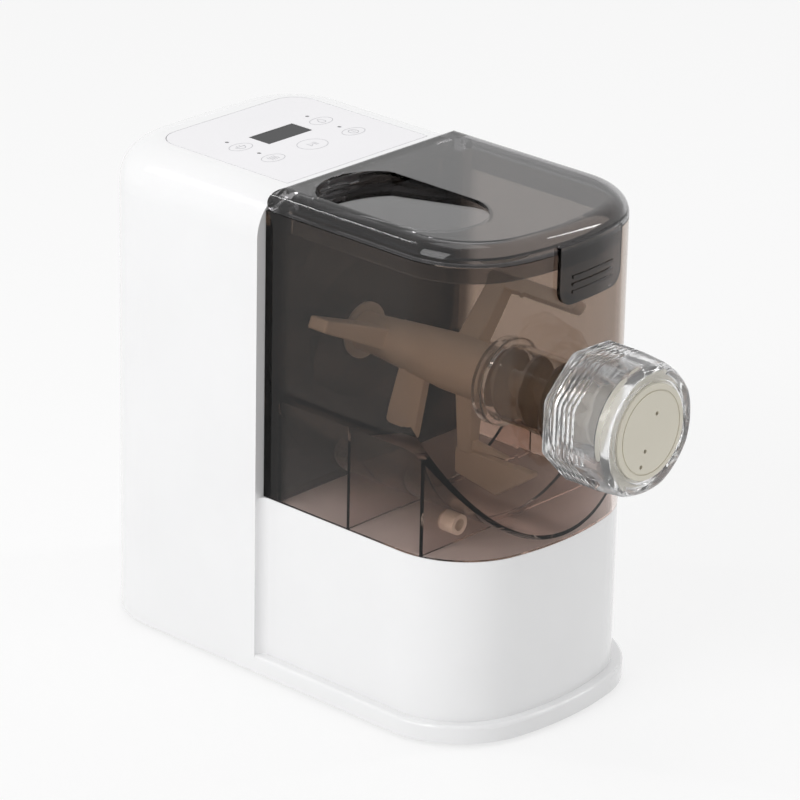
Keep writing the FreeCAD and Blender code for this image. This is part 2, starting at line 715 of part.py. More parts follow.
def make_chamber():
    """Clear mixing chamber: outer box, round trough, ribs below it, neck for the barrel and hinge ears."""
    z0 = BASE_TOP + SEAT_GAP
    rear = -SEAM_GAP
    top = CHAMBER_TOP - SEAM_GAP
    outer = body_outline(0, z0, top, rear)
    inside = body_outline(CLEAR_WALL, z0 - CUT_BEYOND, CHAMBER_TOP + CUT_BEYOND, rear - CLEAR_WALL)
    upper = box(-BIG, BIG, -BIG, BIG, AXIS_Z, BIG)
    cavity = inside.common(fuse([upper, rod(TROUGH_RADIUS, BIG / 2, -BIG / 2)]))
    below = inside.cut(fuse([upper, rod(TROUGH_RADIUS + TROUGH_WALL, BIG / 2, -BIG / 2)]))
    front_rib = -FRONT_REACH + CHAMBER_RIB_FRONT_INSET
    for y in (CHAMBER_RIB_REAR_Y, (CHAMBER_RIB_REAR_Y + front_rib) / 2, front_rib):
        below = below.cut(box(-BIG, BIG, y - CHAMBER_RIB / 2, y + CHAMBER_RIB / 2, z0 - 2 * CUT_BEYOND,
                              AXIS_Z))
    shell = outer.cut([cavity, below])
    neck = ring(NECK_RADIUS, BARREL_RADIUS + FIT, -NECK_REAR, -NECK_FRONT).cut(inside)
    shell = fuse([shell.cut(rod(NECK_RADIUS - CUT_BEYOND, -NECK_REAR, -NECK_FRONT)), neck])
    peg_hole = rod(PEG_RADIUS, PEG_REAR + CUT_BEYOND, PEG_REAR - CHAMBER_RIB - CUT_BEYOND, PEG_X, PEG_Z)
    shell = shell.cut([rod(CHAMBER_REAR_HOLE, CUT_BEYOND, rear - CLEAR_WALL - CUT_BEYOND), peg_hole])
    return fuse([shell] + [hinge_ear(side, rear, top) for side in (-1, 1)])


def hinge_ear(side, rear, top):
    """Ear on the chamber's rear wall with the hole for a lid pin."""
    middle = side * (BODY_HALF - HINGE_EAR_INSET)
    x0 = middle - HINGE_EAR_WIDTH / 2
    x1 = middle + HINGE_EAR_WIDTH / 2
    z = hinge_z()
    low = CHAMBER_TOP - HINGE_EAR_DROP
    eye = Part.makeCylinder(HINGE_EAR_RADIUS, HINGE_EAR_WIDTH, V(x0, seam(-HINGE_SETBACK), z), X)
    web = box(x0, x1, -HINGE_SETBACK - HINGE_EAR_RADIUS, -HINGE_SETBACK + HINGE_EAR_RADIUS, low, z)
    root = box(x0, x1, -HINGE_SETBACK, rear - OVERLAP, low, top - CUT_BEYOND)
    start = V(x0 - CUT_BEYOND, seam(-HINGE_SETBACK), z)
    hole = Part.makeCylinder(HINGE_PIN_RADIUS + FIT, HINGE_EAR_WIDTH + 2 * CUT_BEYOND, start, X)
    return fuse([eye, web, root]).cut(hole)


def hinge_z():
    """Height of the lid's hinge axis: the middle of its rounded rear edge."""
    return (LID_TOP + CHAMBER_TOP) / 2


def make_lid():
    """Clear lid with rounded shoulder, skirt, water recess, latch tab and hinge pins."""
    rear = -SEAM_GAP
    r = LID_HEIGHT / 2
    outer = body_outline(0, CHAMBER_TOP, LID_TOP, rear - r)
    outer = outer.makeFillet(LID_SHOULDER, edges_at(outer, LID_TOP, -BIG, rear - r - CUT_BEYOND))
    plate_under = LID_TOP - LID_PLATE
    hollow_rear = -HINGE_SETBACK - r - 2 * CUT_BEYOND
    hollow = body_outline(LID_PLATE, CHAMBER_TOP - CUT_BEYOND, plate_under, hollow_rear)
    hollow = hollow.makeFillet(LID_SHOULDER - LID_PLATE, edges_at(hollow, plate_under, -BIG,
                                                                  hollow_rear - CUT_BEYOND))
    end_round = body_outline(0, CHAMBER_TOP, LID_TOP, rear)
    end_round = end_round.makeFillet(LID_SHOULDER, edges_at(end_round, LID_TOP, -BIG, rear - CUT_BEYOND))
    barrel = Part.makeCylinder(r, 2 * BODY_HALF, V(-BODY_HALF, seam(-HINGE_SETBACK), hinge_z()),
                               X).common(end_round)
    skirt_top = CHAMBER_TOP + LID_PLATE
    skirt_low = CHAMBER_TOP - LID_SKIRT_DROP
    inset = CLEAR_WALL + LID_SKIRT_GAP
    open_rear = -LID_SKIRT_REAR + LID_SKIRT_REAR_OPEN
    skirt = body_outline(inset, skirt_low, skirt_top, -LID_SKIRT_REAR)
    skirt = skirt.cut(body_outline(inset + LID_SKIRT_WALL, skirt_low - CUT_BEYOND, LID_TOP, open_rear))
    link = body_outline(LID_PLATE - OVERLAP, CHAMBER_TOP + OVERLAP, skirt_top, -LID_SKIRT_REAR)
    link = link.cut(body_outline(inset + LID_SKIRT_WALL, CHAMBER_TOP - CUT_BEYOND, LID_TOP, open_rear))
    recess, bowl = recess_shapes()
    lid = fuse([outer.cut(hollow), barrel, skirt, link, bowl.common(end_round)]).cut(recess)
    slot_x = (RECESS_LEFT + RECESS_RIGHT) / 2
    slot_z = LID_TOP - RECESS_DEPTH + WATER_SLOT_LIFT
    slot = box(slot_x - WATER_SLOT_WIDTH / 2, slot_x + WATER_SLOT_WIDTH / 2, RECESS_REAR - WATER_SLOT_FRONT,
               RECESS_REAR + WATER_SLOT_REAR, slot_z, slot_z + WATER_SLOT_HEIGHT)
    lid = fuse([lid.cut(slot), make_tab()])
    for side in (-1, 1):
        lid = hinge_pin(lid, side, r)
    return lid.removeSplitter()


def hinge_pin(lid, side, r):
    """Cut the pocket for one chamber ear into the lid and leave a pin across it."""
    half = HINGE_EAR_WIDTH / 2 + HINGE_SIDE_GAP
    x = side * (BODY_HALF - HINGE_EAR_INSET)
    pocket = box(x - half, x + half, -HINGE_SETBACK - r - HINGE_POCKET_DEPTH, CUT_BEYOND,
                 CHAMBER_TOP - CUT_BEYOND, LID_TOP - HINGE_ROOF)
    start = V(x - half - CUT_BEYOND, seam(-HINGE_SETBACK), hinge_z())
    return lid.cut(pocket).fuse(Part.makeCylinder(HINGE_PIN_RADIUS, 2 * half + 2 * CUT_BEYOND, start, X))


def recess_wedge(grow, top):
    """Wedge under the lid's water recess outline, deepest at the rear, grown by a wall."""
    x0, x1 = RECESS_LEFT - grow, RECESS_RIGHT + grow
    half = (x1 - x0) / 2
    mid = (x0 + x1) / 2
    rear_y, front_y = seam(RECESS_REAR + grow), seam(RECESS_FRONT - grow)
    corner_y = rear_y - half * RECESS_REAR_CORNER_RATIO
    turn_y = front_y + half
    edges = [line(V(x0, corner_y, 0), V(x0, turn_y, 0)),
             arc(V(x0, turn_y, 0), V(mid, front_y, 0), V(x1, turn_y, 0)),
             line(V(x1, turn_y, 0), V(x1, corner_y, 0)),
             arc(V(x1, corner_y, 0), V(mid, rear_y, 0), V(x0, corner_y, 0))]
    column = Part.Face(Part.Wire(edges)).extrude(V(0, 0, BIG))
    deep = LID_TOP - RECESS_DEPTH - grow
    shallow = LID_TOP - RECESS_NOSE - grow
    x, rear_end, front_end = x0 - CUT_BEYOND, rear_y + CUT_BEYOND, front_y - CUT_BEYOND
    side = Part.makePolygon([V(x, rear_end, top), V(x, rear_end, deep), V(x, front_end, shallow),
                             V(x, front_end, top), V(x, rear_end, top)])
    return column.common(Part.Face(side).extrude(V(x1 - x0 + 2 * CUT_BEYOND, 0, 0)))


def recess_shapes():
    """Wedge of air for pouring water, and the wedge of material that holds it."""
    return recess_wedge(0, LID_TOP + CUT_BEYOND), recess_wedge(RECESS_WALL, LID_TOP - SEAT_GAP)


def make_tab():
    """Latch tab at the lid's front, following the bowed front wall, with grip ribs."""
    top = CHAMBER_TOP + TAB_RISE
    face = -TAB_GAP - TAB_WALL
    below = TAB_BOTTOM - CUT_BEYOND
    skin = body_outline(face, TAB_BOTTOM, top).cut(body_outline(-TAB_GAP, below, CHAMBER_TOP))
    skin = skin.cut(body_outline(LID_PLATE, below, top + CUT_BEYOND, -CUT_BEYOND))
    x0, x1 = TAB_X - TAB_WIDTH / 2, TAB_X + TAB_WIDTH / 2
    front, rear = -NOZZLE_REACH, -FRONT_REACH / 2
    plate = box(x0, x1, front, rear, TAB_BOTTOM, top)
    low = [e for e in edges_at(plate, TAB_BOTTOM) if abs(e.BoundBox.XLength) < NEAR]
    tab = skin.common(plate.makeFillet(TAB_CORNER, low))
    ribs = []
    for i in range(GRIP_RIB_COUNT):
        z = TAB_BOTTOM + GRIP_MARGIN + i * GRIP_PITCH
        rib = body_outline(face - GRIP_DEPTH, z, z + GRIP_PITCH / 3)
        rib = rib.cut(body_outline(-TAB_GAP - OVERLAP, z - CUT_BEYOND, z + GRIP_PITCH))
        ribs.append(rib.common(box(x0 + TAB_CORNER, x1 - TAB_CORNER, front, rear, z - CUT_BEYOND,
                                   z + GRIP_PITCH)))
    return fuse([tab] + ribs)


def make_barrel():
    """Extrusion barrel: tube, rear collar, flange at the chamber's neck and threaded head."""
    flange_front = -HEAD_REAR - FLANGE_THICK
    tube = ring(BARREL_RADIUS, BARREL_BORE, -BARREL_REAR, flange_front)
    collar = ring(COLLAR_RADIUS, BARREL_BORE, -BARREL_REAR, -BARREL_REAR - COLLAR_LENGTH)
    rims = [e for e in collar.Edges
            if e.BoundBox.XLength > 2 * COLLAR_RADIUS - NEAR and e.BoundBox.YLength < NEAR]
    collar = collar.makeFillet(COLLAR_EDGE, rims)
    flange = ring(FLANGE_RADIUS, BARREL_BORE, -NECK_FRONT - SEAT_GAP, flange_front)
    web = ring(HEAD_RADIUS, BARREL_BORE, -HEAD_REAR, flange_front)
    head = ring(HEAD_RADIUS, HEAD_BORE, flange_front + OVERLAP, -HEAD_FRONT)
    throat_rear = -BARREL_REAR - THROAT_SETBACK
    throat = box(-THROAT_HALF_WIDTH, THROAT_HALF_WIDTH, throat_rear - THROAT_LENGTH, throat_rear,
                 AXIS_Z - COLLAR_RADIUS - CUT_BEYOND, AXIS_Z)
    throat = throat.makeFillet(THROAT_CORNER, [e for e in throat.Edges if is_upright(e)])
    return fuse([tube, collar, flange, web, head]).cut(throat)


def make_screw_flight():
    """Extrusion screw: core with a helical flight that fills the barrel."""
    rear, front = -BARREL_REAR - CUT_BEYOND, -HEAD_FRONT + SCREW_SHORT_OF_DIE
    length = rear - front
    core = rod(SCREW_CORE, -BARREL_REAR + OVERLAP, front)
    helix = Part.makeHelix(FLIGHT_PITCH, length - FLIGHT_THICK, FLIGHT_RADIUS)
    half = FLIGHT_THICK / 2
    tip = half * FLIGHT_TIP_RATIO
    root = SCREW_CORE - FLIGHT_ROOT_DEPTH
    corners = [V(FLIGHT_RADIUS, 0, -tip), V(FLIGHT_RADIUS, 0, tip), V(root, 0, half), V(root, 0, -half)]
    profile = Part.makePolygon(corners + corners[:1])
    flight = Part.Wire(helix.Edges).makePipeShell([Part.Wire(profile.Edges)], True, True)
    flight.rotate(V(0, 0, 0), X, 90)
    flight.translate(V(0, seam(rear - half - SEAT_GAP), AXIS_Z))
    return core.fuse(flight)


def turned(shape, angle):
    """Turn a shape about the drive axis; angle 0 points to +X and 90 to +Z."""
    shape.rotate(V(0, 0, AXIS_Z), Y, -angle)
    return shape


def section(reach, y, width, thick):
    """Upright rectangle across an arm that points to +X."""
    signs = ((-1, -1), (1, -1), (1, 1), (-1, 1))
    corners = [V(reach, seam(y) + a * width / 2, AXIS_Z + b * thick / 2) for a, b in signs]
    return Part.makePolygon(corners + corners[:1])


def make_arm(angle, y, reach, root_width, tip_width, root_thick, tip_thick):
    """Flattened bar that tapers from the hub outwards, with rounded edges."""
    sections = [section(0, y, root_width, root_thick), section(reach, y, tip_width, tip_thick)]
    bar = Part.makeLoft(sections, True, True)
    return turned(bar.makeFillet(PADDLE_EDGE, bar.Edges), angle)


def make_blade(angle, outline, thick, corner, edge=BLADE_EDGE):
    """Flat blade from an outline of radius and y pairs, with rounded corners and edges."""
    points = [V(r, seam(y), AXIS_Z - thick / 2) for r, y in outline]
    blade = Part.Face(Part.makePolygon(points + points[:1])).extrude(V(0, 0, thick))
    blade = blade.makeFillet(corner, [e for e in blade.Edges if is_upright(e)])
    flat = edges_at(blade, AXIS_Z - thick / 2) + edges_at(blade, AXIS_Z + thick / 2)
    return turned(blade.makeFillet(edge, flat), angle)


def make_paddle():
    """Mixing paddle: widening hub with a six-sided socket, four arms and their blades."""
    front = -BARREL_REAR + OVERLAP
    taper = Part.makeCone(HUB_RADIUS, HUB_FRONT_RADIUS, HUB_TAPER_FRONT - HUB_TAPER_REAR,
                          V(0, seam(-HUB_TAPER_REAR), AXIS_Z), FORWARD)
    nose = rod(HUB_FRONT_RADIUS, -HUB_TAPER_FRONT, front)
    low_root, low_tip = LOW_BLADE_ROOT_WIDTH / 2, LOW_BLADE_TIP_WIDTH / 2
    low_outline = [(0, LOW_BLADE_Y - low_root), (0, LOW_BLADE_Y + low_root),
                   (LOW_BLADE_REACH, LOW_BLADE_Y + low_tip), (LOW_BLADE_REACH, LOW_BLADE_Y - low_tip)]
    bar_inner = TOP_BAR_RADIUS - TOP_BAR_HEIGHT / 2
    bar_outer = TOP_BAR_RADIUS + TOP_BAR_HEIGHT / 2
    bar_outline = [(bar_inner, TOP_BAR_REAR), (bar_outer, TOP_BAR_REAR), (bar_outer, TOP_BAR_FRONT),
                   (bar_inner, TOP_BAR_FRONT)]
    plough_outline = [(PLOUGH_TOP_RADIUS, PLOUGH_REAR), (PLOUGH_HEEL_RADIUS, PLOUGH_REAR),
                      (PLOUGH_LOW_RADIUS, PLOUGH_LOW_FRONT), (PLOUGH_TOP_RADIUS, PLOUGH_FRONT)]
    fin_outline = [(FIN_INNER_RADIUS, PLOUGH_ARM_Y), (FIN_OUTER_RADIUS, PLOUGH_ARM_Y), (FIN_TIP_RADIUS,
                                                                                        FIN_FRONT)]
    paddle = fuse([
        rod(HUB_RADIUS, -HUB_REAR, -HUB_TAPER_REAR), taper, nose,
        make_arm(LEFT_ARM_ANGLE, LEFT_ARM_Y, LEFT_ARM_REACH, LEFT_ARM_ROOT_WIDTH, LEFT_ARM_TIP_WIDTH,
                 LEFT_ARM_ROOT_THICK, LEFT_ARM_TIP_THICK),
        make_blade(LOW_BLADE_ANGLE, low_outline, LOW_BLADE_THICK, LOW_BLADE_CORNER),
        make_arm(TOP_ARM_ANGLE, TOP_ARM_Y, TOP_BAR_RADIUS, TOP_ARM_ROOT_WIDTH, TOP_ARM_TIP_WIDTH,
                 TOP_ARM_ROOT_THICK, TOP_ARM_TIP_THICK),
        make_blade(TOP_ARM_ANGLE, bar_outline, TOP_ARM_TIP_THICK, TOP_BAR_CORNER),
        make_arm(PLOUGH_ANGLE, PLOUGH_ARM_Y, PLOUGH_TOP_RADIUS + CUT_BEYOND, PLOUGH_ARM_ROOT_WIDTH,
                 PLOUGH_ARM_TIP_WIDTH, PLOUGH_ARM_ROOT_THICK, PLOUGH_ARM_TIP_THICK),
        make_blade(PLOUGH_ANGLE, plough_outline, PLOUGH_THICK, PLOUGH_CORNER),
        make_blade(PLOUGH_ANGLE, fin_outline, FIN_THICK, FIN_CORNER, FIN_EDGE)])
    return paddle.cut(hexagon(SHAFT_ACROSS + 2 * FIT, 0, -SHAFT_REACH - CUT_BEYOND))


def polygon_prism(radius, count, turn, y_rear, y_front):
    """Regular prism along the drive axis with its corners on a circle."""
    points = []
    for i in range(count + 1):
        a = math.radians(turn + 360.0 / count * i)
        points.append(V(radius * math.cos(a), seam(y_rear), AXIS_Z + radius * math.sin(a)))
    return Part.Face(Part.makePolygon(points)).extrude(V(0, y_front - y_rear, 0))


def hexagon(across, y_rear, y_front):
    """Six-sided bar along the drive axis."""
    return polygon_prism(across / math.sqrt(3), 6, 0, y_rear, y_front)


def nut_prism(radius, y_rear, y_front, rounding):
    """Prism of the nut with rounded corners."""
    prism = polygon_prism(radius, NUT_SIDE_COUNT, NUT_TURN_ANGLE, y_rear, y_front)
    long_edges = [e for e in prism.Edges if e.BoundBox.YLength > abs(y_front - y_rear) - NEAR]
    return prism.makeFillet(rounding, long_edges)


def make_nut():
    """Clear retaining nut: ribbed octagon, smooth band, round nose and inner lip."""
    rear, front = -NUT_REAR, -NUT_FRONT
    cut_off = NUT_EDGE_ROUND * (1 / math.cos(math.pi / NUT_SIDE_COUNT) - 1)
    corner = NUT_CORNER_RADIUS + cut_off
    crown = NUT_CORNER_RADIUS + NUT_CROWN
    nose_start = V(0, seam(front + NUT_NOSE), AXIS_Z)
    nose = fuse([rod(crown, rear, front + NUT_NOSE),
                 Part.makeCone(crown, NUT_NOSE_RADIUS, NUT_NOSE, nose_start, FORWARD)])
    body = nut_prism(corner, rear, front, NUT_EDGE_ROUND).common(nose)
    for i in range(NUT_RIB_COUNT):
        y = rear - NUT_FIRST_RIB - i * NUT_RIB_PITCH
        slab = rod(crown + NUT_EDGE_ROUND, y, y - (NUT_RIB_PITCH - NUT_RIB_WIDTH))
        keep = nut_prism(corner - NUT_RIB_DEPTH, y + CUT_BEYOND, y - NUT_RIB_PITCH,
                         NUT_EDGE_ROUND - NUT_RIB_DEPTH)
        body = body.cut(slab.cut(keep))
    body = body.cut(rod(HEAD_RADIUS + FIT, rear + CUT_BEYOND, front + NUT_LIP))
    return body.cut(rod(DIE_FACE_RADIUS + 2 * FIT, rear, front - CUT_BEYOND))


def die_hole(circle, angle):
    """Hole through the die at a radius and angle on its face."""
    a = math.radians(angle)
    return rod(DIE_HOLE_RADIUS, 0, -BIG / 2, circle * math.cos(a), AXIS_Z + circle * math.sin(a))


def make_die():
    """Shaping die: flange held by the nut and a face with a ring line and its holes."""
    seat = -HEAD_FRONT - SEAT_GAP
    flange = rod(DIE_FLANGE_RADIUS, seat, seat - DIE_FLANGE)
    face = rod(DIE_FACE_RADIUS, seat - OVERLAP, -NOZZLE_REACH)
    rim = [e for e in face.Edges if abs(e.BoundBox.Center.y - seam(-NOZZLE_REACH)) < NEAR]
    face = face.makeFillet(DIE_EDGE, rim)
    pocket = rod(HEAD_BORE - DIE_POCKET_WALL, -HEAD_FRONT + CUT_BEYOND, -NOZZLE_REACH + DIE_PLATE)
    groove = ring(DIE_RING_RADIUS, DIE_RING_RADIUS - DIE_RING_WIDTH, -NOZZLE_REACH + DIE_RING_DEPTH,
                  -NOZZLE_REACH - CUT_BEYOND)
    holes = [die_hole(DIE_HOLE_CIRCLE, DIE_HOLE_ANGLE), die_hole(DIE_HOLE_CIRCLE, DIE_HOLE_ANGLE - 180),
             die_hole(DIE_THIRD_HOLE_CIRCLE, DIE_THIRD_HOLE_ANGLE)]
    return fuse([flange, face]).cut([pocket, groove] + holes)


def involute(base_r, r):
    """Involute function of the pressure angle at radius r."""
    c = min(1.0, base_r / r)
    return math.tan(math.acos(c)) - math.acos(c)


def gear(teeth, module, y0, width, z, bore, phase):
    """Spur gear with flank points taken on the involute; phase is the angle of one tooth."""
    pitch_r = teeth * module / 2
    base_r = pitch_r * math.cos(math.radians(PRESSURE_ANGLE))
    radii = [pitch_r - DEDENDUM_RATIO * module, pitch_r, pitch_r + module]
    at_pitch = math.pi / (2 * teeth) - BACKLASH / 2 / pitch_r
    halves = [at_pitch + involute(base_r, pitch_r) - involute(base_r, max(r, base_r)) for r in radii]
    flank = [(r, -h) for r, h in zip(radii, halves)] + [(r, h) for r, h in reversed(list(zip(radii,
                                                                                             halves)))]
    points = []
    for i in range(teeth):
        middle = math.radians(phase) + 2 * math.pi * i / teeth
        points += [V(r * math.cos(middle + a), seam(y0), z + r * math.sin(middle + a)) for r, a in flank]
    blank = Part.Face(Part.makePolygon(points + points[:1])).extrude(V(0, width, 0))
    return blank.cut(rod(bore, y0 + width + CUT_BEYOND, y0 - CUT_BEYOND, 0, z))


def case_lean():
    """Angle by which the gear case's straight sides lean inwards."""
    return math.asin((GEARCASE_RADIUS - GEARCASE_FOOT_RADIUS) / (AXIS_Z - MOTOR_Z))


def tapered_slot(inset, y0, y1):
    """Gear case outline: two circles joined by their outer tangents, drawn in by inset."""
    r_top, r_low = GEARCASE_RADIUS - inset, GEARCASE_FOOT_RADIUS - inset
    c, s = math.cos(case_lean()), math.sin(case_lean())
    y = seam(y0)
    right_top, right_low = V(r_top * c, y, AXIS_Z - r_top * s), V(r_low * c, y, MOTOR_Z - r_low * s)
    left_top, left_low = V(-r_top * c, y, AXIS_Z - r_top * s), V(-r_low * c, y, MOTOR_Z - r_low * s)
    edges = [line(right_top, right_low), arc(right_low, V(0, y, MOTOR_Z - r_low), left_low),
             line(left_low, left_top), arc(left_top, V(0, y, AXIS_Z + r_top), right_top)]
    return Part.Face(Part.Wire(edges)).extrude(V(0, y1 - y0, 0))


def lug_places():
    """Centres of the four screw lugs: two on the top circle, two on the sides by the layshaft."""
    reach = GEARCASE_RADIUS + GEARCASE_LUG_RADIUS / 2
    a = math.radians(GEARCASE_LUG_TOP_ANGLE)
    low_x = (reach - (AXIS_Z - LAY_Z) * math.sin(case_lean())) / math.cos(case_lean())
    places = []
    for side in (-1, 1):
        places.append((side * reach * math.cos(a), AXIS_Z + reach * math.sin(a)))
        places.append((side * low_x, LAY_Z))
    return places


def make_gearcase():
    """Gear case fixed behind the tower's front wall, and its rear cover."""
    y0, y1 = WALL + SEAT_GAP / 2, GEARCASE_REAR
    y2 = y1 + GEARCASE_WALL
    floor = y0 + GEARCASE_WALL
    bush = SHAFT_RADIUS + BEARING_WALL
    lay_hole = LAY_SHAFT_RADIUS + SHAFT_FIT
    case_lugs = [rod(GEARCASE_LUG_RADIUS, y1, y0, x, z) for x, z in lug_places()]
    cover_lugs = [rod(GEARCASE_LUG_RADIUS, y2, y1, x, z) for x, z in lug_places()]
    cavity = tapered_slot(GEARCASE_WALL, floor, y1 + CUT_BEYOND)
    case = fuse([tapered_slot(0, y0, y1)] + case_lugs).cut(cavity)
    case = case.cut(rod(bush, floor + CUT_BEYOND, y0 - CUT_BEYOND))
    seat = ring(LAY_SHAFT_RADIUS + LAY_SEAT_WALL, lay_hole, floor + LAY_SEAT_LENGTH, floor - OVERLAP, 0,
                LAY_Z)
    case = fuse([case.cut(rod(lay_hole, floor + CUT_BEYOND, y0 + CUT_BEYOND, 0, LAY_Z)), seat])
    case = case.cut([rod(SCREW_RADIUS, y1 + CUT_BEYOND, y1 - GEARCASE_SCREW_LENGTH, x, z) for x,
                     z in lug_places()])
    holes = [rod(bush, y2 + CUT_BEYOND, y1 - CUT_BEYOND), rod(lay_hole, y2 + CUT_BEYOND, y1 - CUT_BEYOND, 0,
                                                              LAY_Z),
             rod(ROTOR_SHAFT_RADIUS + MOTOR_HOLE_GAP, y2 + CUT_BEYOND, y1 - CUT_BEYOND, 0, MOTOR_Z)]
    holes += [rod(SCREW_RADIUS + FIT, y2 + CUT_BEYOND, y1 - CUT_BEYOND, x, z) for x, z in lug_places()]
    cover = fuse([tapered_slot(0, y1, y2)] + cover_lugs).cut(holes)
    return case, cover


def make_bearing(y_rear, y_front):
    """Plain bush for the drive shaft."""
    return ring(SHAFT_RADIUS + BEARING_WALL, SHAFT_RADIUS + SHAFT_FIT, y_rear, y_front)


def make_motor():
    """Motor can, its magnets, end cap, and the rotor with shaft and fan."""
    z = MOTOR_Z
    y0 = GEARCASE_REAR + GEARCASE_WALL
    y1 = y0 + MOTOR_LENGTH
    inner = MOTOR_RADIUS - MOTOR_WALL
    can = rod(MOTOR_RADIUS, y1, y0, 0, z).cut(rod(inner, y1 + CUT_BEYOND, y0 + MOTOR_WALL, 0, z))
    can = can.cut(rod(ROTOR_SHAFT_RADIUS + SHAFT_FIT, y0 + MOTOR_WALL + CUT_BEYOND, y0 - CUT_BEYOND, 0, z))
    m0 = y0 + ROTOR_SETBACK
    m1 = m0 + ROTOR_LENGTH
    gap = MOTOR_RADIUS * math.cos(math.radians(MAGNET_SPAN_ANGLE / 2))
    magnets = ring(inner, inner - MAGNET_THICK, m1, m0, 0, z)
    magnets = magnets.cut(box(-MOTOR_RADIUS, MOTOR_RADIUS, m0 - CUT_BEYOND, m1 + CUT_BEYOND, z - gap,
                              z + gap))
    cap = ring(inner, ROTOR_SHAFT_RADIUS + SHAFT_FIT, y1, y1 - MOTOR_CAP, 0, z)
    shaft = rod(ROTOR_SHAFT_RADIUS, y1 + FAN_GAP + FAN_WIDTH, LAY_GEAR_Y - CUT_BEYOND, 0, z)
    stack = ring(ROTOR_RADIUS, ROTOR_SHAFT_RADIUS, m1, m0, 0, z)
    half = ROTOR_SLOT_WIDTH / 2
    for i in range(ROTOR_SLOT_COUNT):
        slot = box(-half, half, m0 - CUT_BEYOND, m1 + CUT_BEYOND, z + ROTOR_RADIUS * ROTOR_SLOT_ROOT_RATIO,
                   z + MOTOR_RADIUS)
        slot.rotate(V(0, 0, z), Y, 360.0 / ROTOR_SLOT_COUNT * i)
        stack = stack.cut(slot)
    return can, magnets, cap, shaft, stack, make_fan(y1 + FAN_GAP, z)


def make_fan(y0, z):
    """Cooling fan on the rear end of the motor shaft."""
    y1 = y0 + FAN_WIDTH
    half = FAN_BLADE_THICK / 2
    blades = []
    for i in range(FAN_BLADE_COUNT):
        blade = box(FAN_HUB_RADIUS - CUT_BEYOND, FAN_RADIUS - FAN_BLADE_INSET, y0, y1, z - half, z + half)
        blade.rotate(V(0, 0, z), Y, 360.0 / FAN_BLADE_COUNT * i)
        blades.append(blade)
    fan = fuse([rod(FAN_HUB_RADIUS, y1, y0, 0, z), rod(FAN_RADIUS, y0 + FAN_DISC, y0, 0, z)] + blades)
    return fan.cut(rod(ROTOR_SHAFT_RADIUS, y1 + CUT_BEYOND, y0 - CUT_BEYOND, 0, z))


def make_saddle():
    """Motor support standing on the bottom cover."""
    z0 = FOOT_DROP + COVER_THICK
    y0 = GEARCASE_REAR + GEARCASE_WALL + MOTOR_LENGTH - SADDLE_WIDTH - SADDLE_REAR_INSET
    y1 = y0 + SADDLE_WIDTH
    foot = SADDLE_HALF + SADDLE_FOOT_REACH
    block = fuse([box(-SADDLE_HALF, SADDLE_HALF, y0, y1, z0, MOTOR_Z - MOTOR_RADIUS * SADDLE_GRIP_RATIO),
                  box(-foot, foot, y0, y1, z0, z0 + SADDLE_FOOT_HEIGHT)])
    return block.cut(rod(MOTOR_RADIUS + SEAT_GAP / 2, y1 + CUT_BEYOND, y0 - CUT_BEYOND, 0, MOTOR_Z))


def make_drive_disc():
    """Dark disc set in the tower's front face round the drive shaft."""
    disc = rod(BOSS_DISC_RADIUS, WALL, 0)
    hub = rod(CHAMBER_REAR_HOLE + DISC_HUB_BEYOND_HOLE, 0, -SEAM_GAP + SEAT_GAP)
    return fuse([disc, hub]).cut(rod(SHAFT_RADIUS + DISC_BORE_GAP, WALL + CUT_BEYOND, -CUT_BEYOND))


def make_inlet():
    """Appliance inlet set in the rear wall: socket body and two pins."""
    rear = TOWER_DEPTH - INLET_SUNK
    front = rear - INLET_DEPTH
    w, h = INLET_WIDTH / 2, INLET_HEIGHT / 2
    rim_rear = TOWER_DEPTH - WALL - 2 * SEAT_GAP
    body = box(-w, w, front, rear, INLET_Z - h, INLET_Z + h)
    rim = box(-w - INLET_RIM, w + INLET_RIM, rim_rear - INLET_RIM_THICK, rim_rear, INLET_Z - h - INLET_RIM,
              INLET_Z + h + INLET_RIM)
    well = box(-w + INLET_WALL, w - INLET_WALL, front + INLET_BACK, rear + CUT_BEYOND,
               INLET_Z - h + INLET_WALL, INLET_Z + h - INLET_WALL)
    long_edges = [e for e in well.Edges if e.BoundBox.YLength > INLET_DEPTH - INLET_CORNER]
    well = well.makeFillet(INLET_CORNER, long_edges)
    pins = [rod(PIN_RADIUS, rear - PIN_SHORT, front - PIN_TAIL, side * PIN_SPACING / 2, INLET_Z)
            for side in (-1, 1)]
    return fuse([body, rim]).cut([well] + pins), Part.makeCompound(pins)


def make_intermediate_gear():
    """Layshaft gear: small pinion in mesh with the drive gear and large wheel driven by the motor."""
    phase = 90 + 180.0 / LAY_PINION_TEETH_COUNT
    length = LAY_GEAR_Y - OUTPUT_GEAR_Y + GEAR_JOIN
    pinion = gear(LAY_PINION_TEETH_COUNT, MODULE_SLOW, OUTPUT_GEAR_Y, length, LAY_Z, LAY_SHAFT_RADIUS,
                  phase)
    wheel = gear(LAY_WHEEL_TEETH_COUNT, MODULE_FAST, LAY_GEAR_Y, LAY_GEAR_WIDTH, LAY_Z, LAY_SHAFT_RADIUS,
                 -90)
    return fuse([pinion, wheel])


